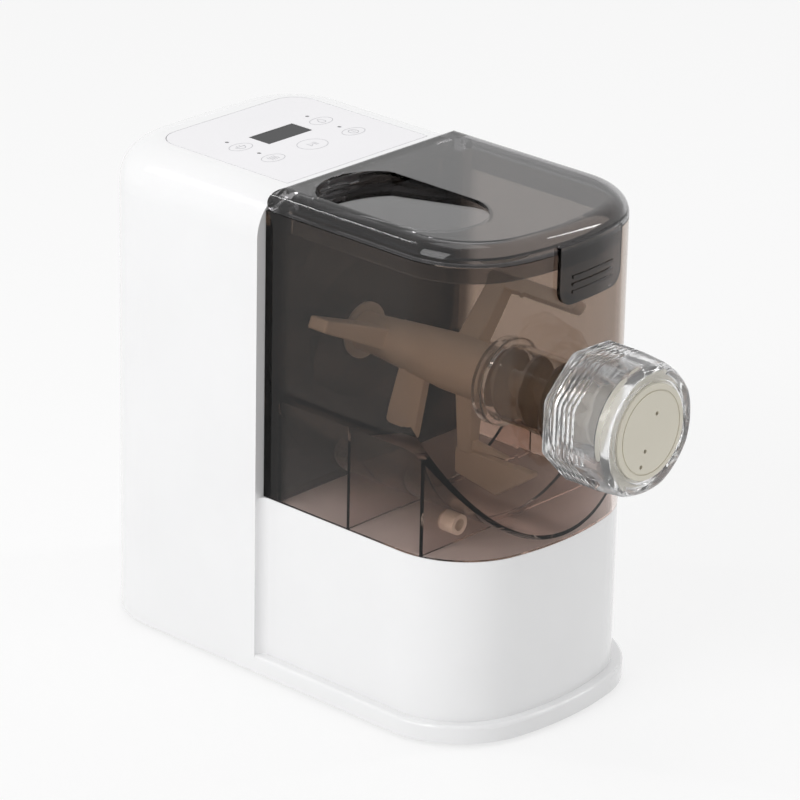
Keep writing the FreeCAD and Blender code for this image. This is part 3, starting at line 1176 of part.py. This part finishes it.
def build():
    """Make every node."""
    n = NODES
    cover_rear = GEARCASE_REAR + GEARCASE_WALL
    case_front = WALL + SEAT_GAP / 2
    n["housing"] = make_housing()
    n["bottom_cover"] = make_bottom_cover()
    names = ["foot_front_left", "foot_front_right", "foot_rear_left", "foot_rear_right"]
    for name, (x, y) in zip(names, foot_places()):
        n[name] = make_foot(x, y)
    n["bottom_screws"] = Part.makeCompound([upright_screw(SCREW_LENGTH, x, y, FOOT_DROP) for x,
                                            y in cover_screw_places()])
    names = ["control_panel", "display_window", "display_module", "status_lamps", "control_board"]
    n.update(zip(names, make_panel()))
    board_under = board_level() - BOARD_THICK - SCREW_HEAD
    board_screw = TOWER_TOP - PANEL_THICK - WALL - board_level()
    n["board_screws"] = Part.makeCompound([upright_screw(board_screw + BOARD_THICK, x, y, board_under)
                                           for x, y in board_places()])
    n["power_board"], n["transformer_and_relay"], n["capacitors"], n["heat_sink"] = make_power_board()
    n["drive_disc"] = make_drive_disc()
    n["gear_case"], n["gear_case_cover"] = make_gearcase()
    n["gear_case_screws"] = Part.makeCompound(
        [lying_screw(GEARCASE_SCREW_LENGTH - CUT_BEYOND, x, cover_rear + SCREW_HEAD, z) for x,
         z in lug_places()])
    n["front_bearing"] = make_bearing(case_front + GEARCASE_WALL + BEARING_PROUD, case_front)
    n["rear_bearing"] = make_bearing(cover_rear, GEARCASE_REAR - BEARING_PROUD)
    n["drive_gear"] = gear(OUTPUT_TEETH_COUNT, MODULE_SLOW, OUTPUT_GEAR_Y, OUTPUT_GEAR_WIDTH, AXIS_Z,
                           SHAFT_RADIUS, -90)
    round_part = rod(SHAFT_RADIUS, cover_rear - CUT_BEYOND, -OVERLAP)
    n["drive_shaft"] = fuse([round_part, hexagon(SHAFT_ACROSS, -SEAT_GAP, -SHAFT_REACH)])
    n["intermediate_gear"] = make_intermediate_gear()
    n["intermediate_shaft"] = rod(LAY_SHAFT_RADIUS, cover_rear - FIT, case_front + 2 * CUT_BEYOND, 0, LAY_Z)
    n["motor_pinion"] = gear(MOTOR_PINION_TEETH_COUNT, MODULE_FAST, LAY_GEAR_Y - MOTOR_PINION_EXTRA,
                             LAY_GEAR_WIDTH + 2 * MOTOR_PINION_EXTRA, MOTOR_Z, ROTOR_SHAFT_RADIUS,
                             90 + 180.0 / MOTOR_PINION_TEETH_COUNT)
    names = ["motor_can", "motor_magnets", "motor_end_cap", "rotor_shaft", "rotor", "cooling_fan"]
    n.update(zip(names, make_motor()))
    n["motor_saddle"] = make_saddle()
    n["power_inlet"], n["inlet_pins"] = make_inlet()
    n["mixing_chamber"] = make_chamber()
    n["chamber_seal"] = ring(CHAMBER_REAR_HOLE, HUB_RADIUS + FIT, -SEAM_GAP, -SEAM_GAP - SEAL_WIDTH)
    n["locating_peg"] = ring(PEG_RADIUS, PEG_BORE, PEG_REAR, PEG_REAR - PEG_LENGTH, PEG_X, PEG_Z)
    n["extrusion_barrel"] = make_barrel()
    n["mixing_paddle"] = make_paddle()
    n["extrusion_screw"] = make_screw_flight()
    n["nozzle_nut"] = make_nut()
    n["pasta_die"] = make_die()
    n["lid"] = make_lid()


def export():
    """Write one file for each node."""
    os.makedirs("parts", exist_ok=True)
    for name, shape in NODES.items():
        shape.exportStep("parts/" + name + ".step")


build()
export()
for name, shape in NODES.items():
    print(name, len(shape.Solids), "solids, valid", shape.isValid(), "volume", round(shape.Volume))
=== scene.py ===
"""Looks of the electric pasta maker: materials, panel symbols, clear nut, floor, light and camera."""
import math

import bpy
from mathutils import Matrix, Vector


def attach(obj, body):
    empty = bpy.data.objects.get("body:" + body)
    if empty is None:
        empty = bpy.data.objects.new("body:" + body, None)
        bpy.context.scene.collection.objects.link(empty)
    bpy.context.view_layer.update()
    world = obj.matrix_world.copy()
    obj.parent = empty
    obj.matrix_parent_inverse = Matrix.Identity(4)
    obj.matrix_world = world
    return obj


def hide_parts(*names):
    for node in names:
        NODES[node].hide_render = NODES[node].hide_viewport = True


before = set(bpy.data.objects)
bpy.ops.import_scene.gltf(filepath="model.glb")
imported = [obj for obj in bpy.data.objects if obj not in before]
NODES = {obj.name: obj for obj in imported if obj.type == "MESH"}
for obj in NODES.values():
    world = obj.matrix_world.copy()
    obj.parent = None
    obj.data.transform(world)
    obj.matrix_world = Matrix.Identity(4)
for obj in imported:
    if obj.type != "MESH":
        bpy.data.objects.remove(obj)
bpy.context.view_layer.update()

# Camera, taken from a fit to the photograph's outlines, in degrees and metres
CAMERA_AZIMUTH = -47.616
CAMERA_ELEVATION = 22.512
CAMERA_ROLL = 1.204
CAMERA_DISTANCE = 2.4261
CAMERA_LENS = 200.0
CAMERA_SENSOR = 36.0
CAMERA_TARGET = Vector((-0.0003, 0.0056, 0.1496))

# Colours, linear
WHITE = (0.90, 0.90, 0.905, 1)
WHITE_WARM = (0.84, 0.83, 0.83, 1)
PANEL_WHITE = (0.88, 0.87, 0.89, 1)
SMOKE_BROWN = (0.50, 0.42, 0.365, 1)
# Painted light: the chamber's lower part is lighter, standing for light thrown up from the white base below
PAINTED_LIGHT_LOW = (0.80, 0.70, 0.66, 1)
# Painted shade: the chamber's rear part is darker, standing for shade inside the chamber behind the paddle
PAINTED_SHADE_REAR = (0.10, 0.075, 0.06, 1)
SMOKE_GREY = (0.27, 0.265, 0.27, 1)
SMOKE_TAB = (0.03, 0.03, 0.03, 1)
CLEAR = (0.97, 0.97, 0.97, 1)
CREAM = (0.86, 0.77, 0.66, 1)
CREAM_DIE = (0.72, 0.68, 0.57, 1)
BLACK_GLASS = (0.008, 0.008, 0.010, 1)
DARK = (0.022, 0.020, 0.020, 1)
RUBBER = (0.16, 0.16, 0.165, 1)
SILICONE = (0.66, 0.63, 0.58, 1)
STEEL = (0.62, 0.62, 0.64, 1)
BRASS = (0.66, 0.47, 0.20, 1)
COPPER = (0.62, 0.30, 0.16, 1)
NYLON = (0.74, 0.72, 0.66, 1)
GREEN = (0.02, 0.14, 0.06, 1)
PRINT_GREY = (0.42, 0.42, 0.44, 1)
LAMP_GREY = (0.10, 0.10, 0.11, 1)
FLOOR = (0.92, 0.92, 0.92, 1)

MILLI = 0.001

# Distances that the panel symbols and the nut share, in millimetres
SEAM = 36.0
PANEL_TOP = 280.0
AXIS_Z = 183.5

# Smoked plastic: how strongly it bends light, and colours that take over by place: axis, start, end, colour;
# the chamber's are painted light at its bottom and painted shade at its rear, the lid's is its own darker
# colour at its front
CHAMBER_IOR = 1.33
LID_IOR = 1.42
AXIS_OF_DEPTH = 1
AXIS_OF_HEIGHT = 2
# Chamber zones: painted light at the bottom, painted shade at the rear
CHAMBER_PAINTED_LIGHT_ZONES = [(AXIS_OF_HEIGHT, 0.150, 0.118, PAINTED_LIGHT_LOW), (AXIS_OF_DEPTH, 0.018, 0.026, PAINTED_SHADE_REAR)]
LID_ZONES = [(AXIS_OF_DEPTH, -0.1175, -0.1195, SMOKE_TAB)]

# Light levels
WORLD_ON_OBJECT = 0.56
WORLD_SEEN = 1.0
FLOOR_GLOW_SHARE = 0.72
LIGHT_TARGET = (0, 0, 0.15)
FLOOR_HALF_SIZE = 3.0
CAMERA_FAR = 20


class Shader:
    """Small helper that adds nodes to one material."""

    def __init__(self, name):
        self.mat = bpy.data.materials.new(name)
        self.mat.use_nodes = True
        self.tree = self.mat.node_tree
        self.bsdf = self.tree.nodes["Principled BSDF"]
        self.coords = self.tree.nodes.new("ShaderNodeTexCoord").outputs["Object"]

    def put(self, socket, value):
        """Set one socket by its exact name."""
        self.bsdf.inputs[socket].default_value = value
        return self

    def noise(self, scale, detail=4.0, stretch=(1, 1, 1)):
        """Noise over the object's own coordinates, in metres."""
        mapping = self.tree.nodes.new("ShaderNodeMapping")
        mapping.inputs["Scale"].default_value = stretch
        self.tree.links.new(self.coords, mapping.inputs["Vector"])
        node = self.tree.nodes.new("ShaderNodeTexNoise")
        node.inputs["Scale"].default_value = scale
        node.inputs["Detail"].default_value = detail
        self.tree.links.new(mapping.outputs["Vector"], node.inputs["Vector"])
        return node.outputs["Fac"]

    def ramp(self, fac, low, high, start=0.3, end=0.7):
        """Colour or value that goes from low to high with a factor."""
        node = self.tree.nodes.new("ShaderNodeValToRGB")
        node.color_ramp.elements[0].position = start
        node.color_ramp.elements[1].position = end
        node.color_ramp.elements[0].color = low
        node.color_ramp.elements[1].color = high
        self.tree.links.new(fac, node.inputs["Fac"])
        return node.outputs["Color"]

    def level(self, fac, low, high):
        """Number that goes from low to high with a factor."""
        node = self.tree.nodes.new("ShaderNodeMapRange")
        node.inputs["To Min"].default_value = low
        node.inputs["To Max"].default_value = high
        self.tree.links.new(fac, node.inputs["Value"])
        return node.outputs["Result"]

    def along(self, axis, start, end):
        """Factor that goes from 0 to 1 between two places on one axis, in metres."""
        parts = self.tree.nodes.new("ShaderNodeSeparateXYZ")
        self.tree.links.new(self.coords, parts.inputs[0])
        node = self.tree.nodes.new("ShaderNodeMapRange")
        node.inputs["From Min"].default_value = start
        node.inputs["From Max"].default_value = end
        self.tree.links.new(parts.outputs[axis], node.inputs["Value"])
        return node.outputs["Result"]

    def blend(self, fac, colour, other):
        """Colour output that turns into another plain colour with a factor."""
        node = self.tree.nodes.new("ShaderNodeMix")
        node.data_type = "RGBA"
        self.tree.links.new(fac, node.inputs[0])
        self.tree.links.new(colour, node.inputs[6])
        node.inputs[7].default_value = other
        return node.outputs[2]

    def link(self, output, socket):
        """Feed a socket of the main shader."""
        self.tree.links.new(output, self.bsdf.inputs[socket])
        return self

    def bump(self, height, strength, distance):
        """Fine relief from a height."""
        node = self.tree.nodes.new("ShaderNodeBump")
        node.inputs["Strength"].default_value = strength
        node.inputs["Distance"].default_value = distance
        self.tree.links.new(height, node.inputs["Height"])
        self.tree.links.new(node.outputs["Normal"], self.bsdf.inputs["Normal"])
        return self


def shade(colour, factor):
    """A colour made lighter or darker."""
    return tuple(min(1.0, c * factor) for c in colour[:3]) + (1,)


def plastic(name, colour, rough, spread, grain, coat=0.0, vary=0.04, relief=0.02):
    """Moulded plastic: slight colour and gloss variation and a fine moulded skin."""
    s = Shader(name)
    wide = s.noise(18.0, 3.0)
    fine = s.noise(grain, 5.0)
    s.link(s.ramp(wide, shade(colour, 1 - vary), shade(colour, 1 + vary)), "Base Color")
    s.link(s.level(fine, rough - spread, rough + spread), "Roughness")
    s.put("Coat Weight", coat).put("Coat Roughness", 0.06)
    s.bump(fine, relief, 0.0002)
    return s.mat


def clear_plastic(name, colour, rough, vary=0.05, ior=1.49, wave=0.01, clear=1.0, zones=()):
    """See-through plastic with slight flow variation; zones are colours that take over along one axis, some of
    them painted light and shade.
    """
    s = Shader(name)
    wide = s.noise(14.0, 2.0)
    fine = s.noise(900.0, 3.0)
    tint_and_painted_light = s.ramp(wide, shade(colour, 1 - vary), shade(colour, 1 + vary))
    # The zones blend in by place; the chamber's paint light at its bottom and shade at its rear
    for axis, start, end, zone_colour in zones:
        tint_and_painted_light = s.blend(s.along(axis, start, end), tint_and_painted_light, zone_colour)
    s.link(tint_and_painted_light, "Base Color")
    s.link(s.level(fine, rough * 0.5, rough * 1.5), "Roughness")
    s.put("Transmission Weight", clear).put("IOR", ior)
    s.bump(s.noise(60.0, 1.0), wave, 0.0004)
    return s.mat


def black_window(name, colour):
    """Black window with little gloss, so that the backdrop doesn't wash it out."""
    s = Shader(name)
    fine = s.noise(900.0, 5.0)
    s.link(s.ramp(fine, shade(colour, 0.9), shade(colour, 1.1)), "Base Color")
    s.link(s.level(fine, 0.28, 0.36), "Roughness")
    s.put("Specular IOR Level", 0.2)
    s.bump(fine, 0.004, 0.0002)
    return s.mat


def metal(name, colour, rough, stretch=(1, 1, 1), grain=900.0):
    """Turned or brushed metal."""
    s = Shader(name)
    lines = s.noise(grain, 4.0, stretch)
    s.link(s.ramp(lines, shade(colour, 0.9), shade(colour, 1.08)), "Base Color")
    s.link(s.level(lines, rough - 0.08, rough + 0.1), "Roughness")
    s.put("Metallic", 1.0)
    s.bump(lines, 0.04, 0.0001)
    return s.mat


def rubber(name, colour):
    """Matt rubber with a fine grain."""
    s = Shader(name)
    fine = s.noise(1400.0, 6.0)
    s.link(s.ramp(fine, shade(colour, 0.85), shade(colour, 1.15)), "Base Color")
    s.link(s.level(fine, 0.62, 0.8), "Roughness")
    s.bump(fine, 0.15, 0.0002)
    return s.mat


def board(name, colour):
    """Circuit board: solder mask with copper tracks showing faintly."""
    s = Shader(name)
    brick = s.tree.nodes.new("ShaderNodeTexBrick")
    brick.inputs["Scale"].default_value = 160.0
    brick.inputs["Color1"].default_value = colour
    brick.inputs["Color2"].default_value = shade(colour, 0.75)
    brick.inputs["Mortar"].default_value = shade(colour, 1.9)
    s.tree.links.new(s.coords, brick.inputs["Vector"])
    s.link(brick.outputs["Color"], "Base Color")
    s.link(s.level(s.noise(500.0), 0.3, 0.45), "Roughness")
    s.bump(brick.outputs["Fac"], 0.1, 0.0002)
    return s.mat


def make_materials():
    """All materials by name."""
    return {
        "white": plastic("white_gloss_plastic", WHITE, 0.17, 0.04, 1600.0, coat=0.35, vary=0.012,
                         relief=0.012),
        "white_warm": plastic("white_cover_plastic", WHITE_WARM, 0.34, 0.06, 1400.0, vary=0.02, relief=0.05),
        "panel": plastic("panel_film", PANEL_WHITE, 0.24, 0.03, 2400.0, vary=0.008, relief=0.02),
        "window": black_window("display_glass", BLACK_GLASS),
        "dark": plastic("dark_moulding", DARK, 0.38, 0.06, 1500.0, vary=0.1, relief=0.05),
        "rubber": rubber("foot_rubber", RUBBER),
        "seal": rubber("seal_silicone", SILICONE),
        # The chamber's zones paint light at its bottom and shade at its rear
        "smoke": clear_plastic("smoked_chamber", SMOKE_BROWN, 0.015, ior=CHAMBER_IOR, zones=CHAMBER_PAINTED_LIGHT_ZONES),
        "smoke_lid": clear_plastic("smoked_lid", SMOKE_GREY, 0.02, ior=LID_IOR, zones=LID_ZONES),
        "clear": clear_plastic("clear_nut", CLEAR, 0.03, vary=0.01, wave=0.03, clear=0.93),
        "clear_barrel": clear_plastic("clear_barrel", shade(CLEAR, 0.95), 0.03, vary=0.01),
        "cream": plastic("cream_paddle", CREAM, 0.40, 0.05, 1300.0, vary=0.03, relief=0.05),
        "cream_die": plastic("cream_die", CREAM_DIE, 0.36, 0.05, 1500.0, vary=0.02, relief=0.04),
        "steel": metal("turned_steel", STEEL, 0.28, (1, 12, 1)),
        "screw": metal("plated_screw", shade(STEEL, 0.8), 0.35),
        "aluminium": metal("aluminium", shade(STEEL, 1.1), 0.35),
        "brass": metal("brass", BRASS, 0.3),
        "copper": metal("copper_winding", COPPER, 0.35, (1, 30, 1)),
        "magnet": plastic("ferrite", shade(DARK, 2.2), 0.5, 0.08, 900.0, vary=0.1),
        "nylon": plastic("natural_nylon", NYLON, 0.45, 0.05, 1100.0, vary=0.03, relief=0.05),
        "board": board("circuit_board", GREEN),
        "print": plastic("grey_print", PRINT_GREY, 0.5, 0.05, 1800.0, vary=0.05),
        "lamp": plastic("lamp_lens", LAMP_GREY, 0.2, 0.04, 900.0, coat=0.3),
    }


# CAD nodes by material
MATERIAL_OF = {
    "white": ["housing"],
    "white_warm": ["bottom_cover"],
    "panel": ["control_panel"],
    "window": ["display_window"],
    "dark": ["display_module", "transformer_and_relay", "capacitors", "drive_disc", "motor_end_cap",
             "power_inlet", "cooling_fan"],
    "rubber": ["foot_front_left", "foot_front_right", "foot_rear_left", "foot_rear_right"],
    "seal": ["chamber_seal"],
    "smoke": ["mixing_chamber"],
    "smoke_lid": ["lid"],
    "clear": ["nozzle_nut"],
    "clear_barrel": ["extrusion_barrel"],
    "cream": ["mixing_paddle", "extrusion_screw", "locating_peg"],
    "cream_die": ["pasta_die"],
    "steel": ["drive_gear", "drive_shaft", "intermediate_shaft", "rotor_shaft", "motor_can"],
    "screw": ["bottom_screws", "board_screws", "gear_case_screws"],
    "aluminium": ["heat_sink"],
    "brass": ["front_bearing", "rear_bearing", "motor_pinion", "inlet_pins"],
    "copper": ["rotor"],
    "magnet": ["motor_magnets"],
    "nylon": ["gear_case", "gear_case_cover", "intermediate_gear", "motor_saddle"],
    "board": ["control_board", "power_board"],
    "lamp": ["status_lamps"],
}


def dress_nodes(materials):
    """Give every CAD node its material."""
    for key, names in MATERIAL_OF.items():
        for name in names:
            for slot in NODES[name].material_slots:
                slot.link = "OBJECT"
                slot.material = materials[key]


def mesh_piece(name, verts, faces, material, body):
    """New mesh object that rides on a body."""
    mesh = bpy.data.meshes.new(name)
    mesh.from_pydata(verts, [], faces)
    mesh.update()
    piece = bpy.data.objects.new(name, mesh)
    bpy.context.scene.collection.objects.link(piece)
    mesh.materials.append(material)
    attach(piece, body)
    return piece


def strip(points, width, top, thick, closed):
    """Flat printed line of even width along points given in metres."""
    count = len(points)
    verts, faces = [], []
    for i, p in enumerate(points):
        before = points[(i - 1) % count] if closed or i > 0 else p
        after = points[(i + 1) % count] if closed or i < count - 1 else p
        along = Vector((after[0] - before[0], after[1] - before[1], 0)).normalized()
        side = Vector((-along.y, along.x, 0)) * width / 2
        for s, z in ((1, top), (-1, top), (-1, top - thick), (1, top - thick)):
            verts.append((p[0] + s * side.x, p[1] + s * side.y, z))
    for i in range(count if closed else count - 1):
        a, b = 4 * i, 4 * ((i + 1) % count)
        for k in range(4):
            faces.append((a + k, a + (k + 1) % 4, b + (k + 1) % 4, b + k))
    if not closed:
        last = 4 * (count - 1)
        faces.append((3, 2, 1, 0))
        faces.append((last, last + 1, last + 2, last + 3))
    return verts, faces


def oval(cx, cy, rx, ry, start=0.0, end=360.0, count=48):
    """Points on an oval arc."""
    full = abs(end - start) >= 360
    steps = count if full else count + 1
    return [(cx + rx * math.cos(math.radians(start + (end - start) * i / count)),
             cy + ry * math.sin(math.radians(start + (end - start) * i / count))) for i in range(steps)]


# Panel keys and their symbols, millimetres; symbols are drawn from the key's centre
LINE = 0.45
RING = 0.35
PRINT_THICK = 0.03
KEY_X = 31.5
KEY_REAR = 62.0
KEY_FRONT = 37.4
KEY_RADII = (7.6, 5.0)
START_KEY_RADII = (9.6, 7.4)
START_KEY_SHIFT = 0.9
RING_STEPS = 64


def symbol_bowl():
    """Bowl with steam."""
    return [oval(0, 0.6, 3.0, 3.2, 180, 360, 16), [(-3.6, 0.6), (3.6, 0.6)], [(-1.2, 1.6), (-0.8, 2.8)],
            [(0.9, 1.6), (1.3, 2.8)]]


def symbol_drop():
    """Water drop."""
    arc = oval(0, -0.7, 2.1, 2.1, -220, 40, 18)
    return [arc + [(0, 3.2), arc[0]]]


def symbol_clock():
    """Clock face."""
    ring = oval(0, 0, 2.8, 2.8)
    return [ring + [ring[0]], [(0, 1.7), (0, 0), (1.4, -0.6)]]


def symbol_power():
    """Play and pause."""
    return [[(-2.6, -2.0), (-2.6, 2.0), (0.4, 0), (-2.6, -2.0)], [(1.6, -2.0), (1.6, 2.0)],
            [(3.0, -2.0), (3.0, 2.0)]]


def symbol_grain():
    """Strands of pasta."""
    return [[(x, -2.6), (x + 0.5, -0.9), (x - 0.4, 0.9), (x, 2.6)] for x in (-2.4, -0.8, 0.8, 2.4)]


def make_panel_prints(materials):
    """Thin oval ring and symbol on each touch key."""
    keys = [("key_menu", -KEY_X, KEY_REAR, symbol_bowl(), KEY_RADII),
            ("key_weight", -KEY_X, KEY_FRONT, symbol_grain(), KEY_RADII),
            ("key_water", KEY_X, KEY_REAR, symbol_drop(), KEY_RADII),
            ("key_timer", KEY_X, KEY_FRONT, symbol_clock(), KEY_RADII),
            ("key_start", 0.0, KEY_FRONT + START_KEY_SHIFT, symbol_power(), START_KEY_RADII)]
    for name, x, y, lines, radii in keys:
        verts, faces = [], []
        ring = oval(0, 0, *radii, count=RING_STEPS)
        for points, width, closed in [(ring, RING, True)] + [(line, LINE, False) for line in lines]:
            placed = [((x + px) * MILLI, (SEAM + y + py) * MILLI) for px, py in points]
            v, f = strip(placed, width * MILLI, (PANEL_TOP + PRINT_THICK) * MILLI, PRINT_THICK * MILLI, closed)
            base = len(verts)
            verts += v
            faces += [tuple(base + k for k in face) for face in f]
        mesh_piece(name, verts, faces, materials["print"], "base")


# Clear nut, millimetres; distances along the axis are from the seam towards the front
NUT_SIDES = 8
NUT_TURN = 21.0
NUT_FLAT = 35.9
NUT_CORNER = 38.3
NUT_BACK = 162.6
NUT_FACE = 206.3
NUT_BAND = 184.0
NUT_RIM_ROUND = 6.0
NUT_RIM_RADIUS = 35.6
NUT_RIB_PITCH = 3.1
NUT_RIB_FIRST = 2.0
NUT_RIB_COUNT = 7
NUT_RIB_DEPTH = 1.3
NUT_BORE = 31.5
NUT_BORE_END = 199.6
NUT_LIP_BORE = 27.0
NUT_STEPS = 128
NUT_CORNER_EASE = 0.15
NUT_BAND_START = 2.0
NUT_BAND_STEP = 3.4
NUT_BAND_ROWS = 5
NUT_BAND_ROUNDING = 0.12
NUT_RIM_ROWS = 8
NUT_RIM_DROP = 0.7
NUT_SHARP_ANGLE = 35


def nut_outline(angle, roundness):
    """Radius of the nut at an angle: an octagon with round corners that turns into a circle."""
    side = 360 / NUT_SIDES
    off = (angle - NUT_TURN) % side - side / 2
    flat = NUT_FLAT / math.cos(math.radians(off))
    octagon = min(flat, NUT_CORNER - NUT_CORNER_EASE * max(0.0, flat - NUT_CORNER))
    return octagon * (1 - roundness) + NUT_RIM_RADIUS * roundness


def nut_rows():
    """Rows of the nut's skin: place on the axis, change of radius, roundness, or a plain radius."""
    rows = [(NUT_BACK + 0.5, -1.0, 0.0, None), (NUT_BACK + 0.9, -0.2, 0.0, None)]
    for i in range(NUT_RIB_COUNT):
        start = NUT_BACK + NUT_RIB_FIRST + i * NUT_RIB_PITCH
        rows += [(start - 0.3, 0.0, 0.0, None), (start + 0.2, -NUT_RIB_DEPTH, 0.0, None),
                 (start + 1.3, -NUT_RIB_DEPTH, 0.0, None), (start + 1.8, 0.0, 0.0, None)]
    for i in range(NUT_BAND_ROWS):
        rows.append((NUT_BAND + NUT_BAND_START + i * NUT_BAND_STEP, 0.0, NUT_BAND_ROUNDING * i, None))
    for i in range(1, NUT_RIM_ROWS + 1):
        a = math.radians(90 * i / NUT_RIM_ROWS)
        place = NUT_FACE - NUT_RIM_ROUND * (1 - math.sin(a))
        drop = -NUT_RIM_ROUND * NUT_RIM_DROP * (1 - math.cos(a))
        rows.append((place, drop, 0.5 + 0.5 * i / NUT_RIM_ROWS, None))
    rows += [(NUT_FACE, 0, 0, NUT_LIP_BORE + 1.6), (NUT_FACE - 0.5, 0, 0, NUT_LIP_BORE + 1.2),
             (NUT_FACE - 0.9, 0, 0, NUT_LIP_BORE), (NUT_BORE_END, 0, 0, NUT_LIP_BORE),
             (NUT_BORE_END, 0, 0, NUT_BORE), (NUT_BACK + 0.4, 0, 0, NUT_BORE),
             (NUT_BACK, 0, 0, NUT_BORE + 0.5)]
    return rows + [(NUT_BACK, -2.0, 0.0, None)]


def make_nut(materials):
    """Nut with its round clear rim, in place of the plainer CAD nut."""
    rows = nut_rows()
    verts, faces = [], []
    for along, grow, roundness, plain in rows:
        for k in range(NUT_STEPS):
            angle = 360 * k / NUT_STEPS
            r = plain or nut_outline(angle, roundness) + grow
            a = math.radians(angle)
            verts.append((r * math.cos(a) * MILLI, (SEAM - along) * MILLI,
                          (AXIS_Z + r * math.sin(a)) * MILLI))
    for i in range(len(rows)):
        j = (i + 1) % len(rows)
        for k in range(NUT_STEPS):
            n = (k + 1) % NUT_STEPS
            faces.append((i * NUT_STEPS + k, i * NUT_STEPS + n, j * NUT_STEPS + n, j * NUT_STEPS + k))
    nut = mesh_piece("clear_nut", verts, faces, materials["clear"], "nut")
    for poly in nut.data.polygons:
        poly.use_smooth = True
    nut.data.set_sharp_from_angle(angle=math.radians(NUT_SHARP_ANGLE))
    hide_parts("nozzle_nut")


def smooth_nodes():
    """Smooth shading with crisp edges on the CAD meshes' own normals."""
    for node in NODES.values():
        for poly in node.data.polygons:
            poly.use_smooth = True


def add_area(name, location, size, power, size_y=None):
    """Rectangular lamp aimed at the object."""
    light = bpy.data.lights.new(name, "AREA")
    light.energy = power
    light.shape = "RECTANGLE"
    light.size = size
    light.size_y = size_y or size
    lamp = bpy.data.objects.new(name, light)
    bpy.context.scene.collection.objects.link(lamp)
    lamp.location = location
    lamp.rotation_euler = (Vector(LIGHT_TARGET) - Vector(location)).to_track_quat("-Z", "Y").to_euler()


def make_lights():
    """Large soft key from the upper left, strips for the lid's edges and a soft light from above."""
    add_area("key", (-1.7, 0.1, 1.3), 1.1, 14.0)
    add_area("edge_strip", (1.45, -0.77, 1.4), 0.12, 5.0, 0.9)
    add_area("rear_strip", (-0.85, 1.45, 1.7), 0.06, 3.0, 0.9)
    add_area("top", (0.1, 0.3, 2.3), 1.0, 6.0)


def seen_rays(tree):
    """1 for camera, glossy and transmission rays, otherwise 0."""
    path = tree.nodes.new("ShaderNodeLightPath")
    total = path.outputs["Is Camera Ray"]
    for ray in ("Is Glossy Ray", "Is Transmission Ray"):
        most = tree.nodes.new("ShaderNodeMath")
        most.operation = "MAXIMUM"
        tree.links.new(total, most.inputs[0])
        tree.links.new(path.outputs[ray], most.inputs[1])
        total = most.outputs[0]
    return total


def make_world():
    """White to the camera, to gloss and through clear plastic; a plain grey level on the object."""
    world = bpy.data.worlds.new("studio")
    bpy.context.scene.world = world
    world.use_nodes = True
    tree = world.node_tree
    background = tree.nodes["Background"]
    background.inputs["Color"].default_value = (1, 1, 1, 1)
    seen = seen_rays(tree)
    level = tree.nodes.new("ShaderNodeMapRange")
    level.inputs["To Min"].default_value = WORLD_ON_OBJECT
    level.inputs["To Max"].default_value = WORLD_SEEN
    tree.links.new(seen, level.inputs["Value"])
    tree.links.new(level.outputs["Result"], background.inputs["Strength"])


def make_floor():
    """Pale floor that is white to the camera away from the object's shadow."""
    size = FLOOR_HALF_SIZE
    corners = [(-size, -size, 0), (size, -size, 0), (size, size, 0), (-size, size, 0)]
    mesh = bpy.data.meshes.new("floor")
    mesh.from_pydata(corners, [], [(0, 1, 2, 3)])
    floor = bpy.data.objects.new("floor", mesh)
    bpy.context.scene.collection.objects.link(floor)
    mat = bpy.data.materials.new("floor_white")
    mat.use_nodes = True
    tree = mat.node_tree
    bsdf = tree.nodes["Principled BSDF"]
    bsdf.inputs["Base Color"].default_value = FLOOR
    bsdf.inputs["Roughness"].default_value = 0.6
    glow = tree.nodes.new("ShaderNodeEmission")
    glow.inputs["Strength"].default_value = 1.0
    seen = seen_rays(tree)
    share = tree.nodes.new("ShaderNodeMath")
    share.operation = "MULTIPLY"
    share.inputs[1].default_value = FLOOR_GLOW_SHARE
    tree.links.new(seen, share.inputs[0])
    mix = tree.nodes.new("ShaderNodeMixShader")
    tree.links.new(share.outputs[0], mix.inputs["Fac"])
    tree.links.new(bsdf.outputs[0], mix.inputs[1])
    tree.links.new(glow.outputs[0], mix.inputs[2])
    tree.links.new(mix.outputs[0], tree.nodes["Material Output"].inputs["Surface"])
    mesh.materials.append(mat)


def make_camera():
    """Camera at the photograph's viewing angle."""
    az, el, roll = (math.radians(a) for a in (CAMERA_AZIMUTH, CAMERA_ELEVATION, CAMERA_ROLL))
    back = Vector((math.sin(az) * math.cos(el), -math.cos(az) * math.cos(el), math.sin(el)))
    right = Vector((math.cos(az), math.sin(az), 0))
    up = back.cross(right)
    side = right * math.cos(roll) + up * math.sin(roll)
    top = up * math.cos(roll) - right * math.sin(roll)
    data = bpy.data.cameras.new("camera")
    data.lens = CAMERA_LENS
    data.sensor_width = CAMERA_SENSOR
    data.clip_end = CAMERA_FAR
    camera = bpy.data.objects.new("camera", data)
    bpy.context.scene.collection.objects.link(camera)
    turn = Matrix((side, top, back)).transposed().to_4x4()
    camera.matrix_world = Matrix.Translation(CAMERA_TARGET + back * CAMERA_DISTANCE) @ turn
    bpy.context.scene.camera = camera


materials = make_materials()
dress_nodes(materials)
smooth_nodes()
make_panel_prints(materials)
make_nut(materials)
make_floor()
make_world()
make_lights()
make_camera()
bpy.context.scene.view_settings.view_transform = "Standard"
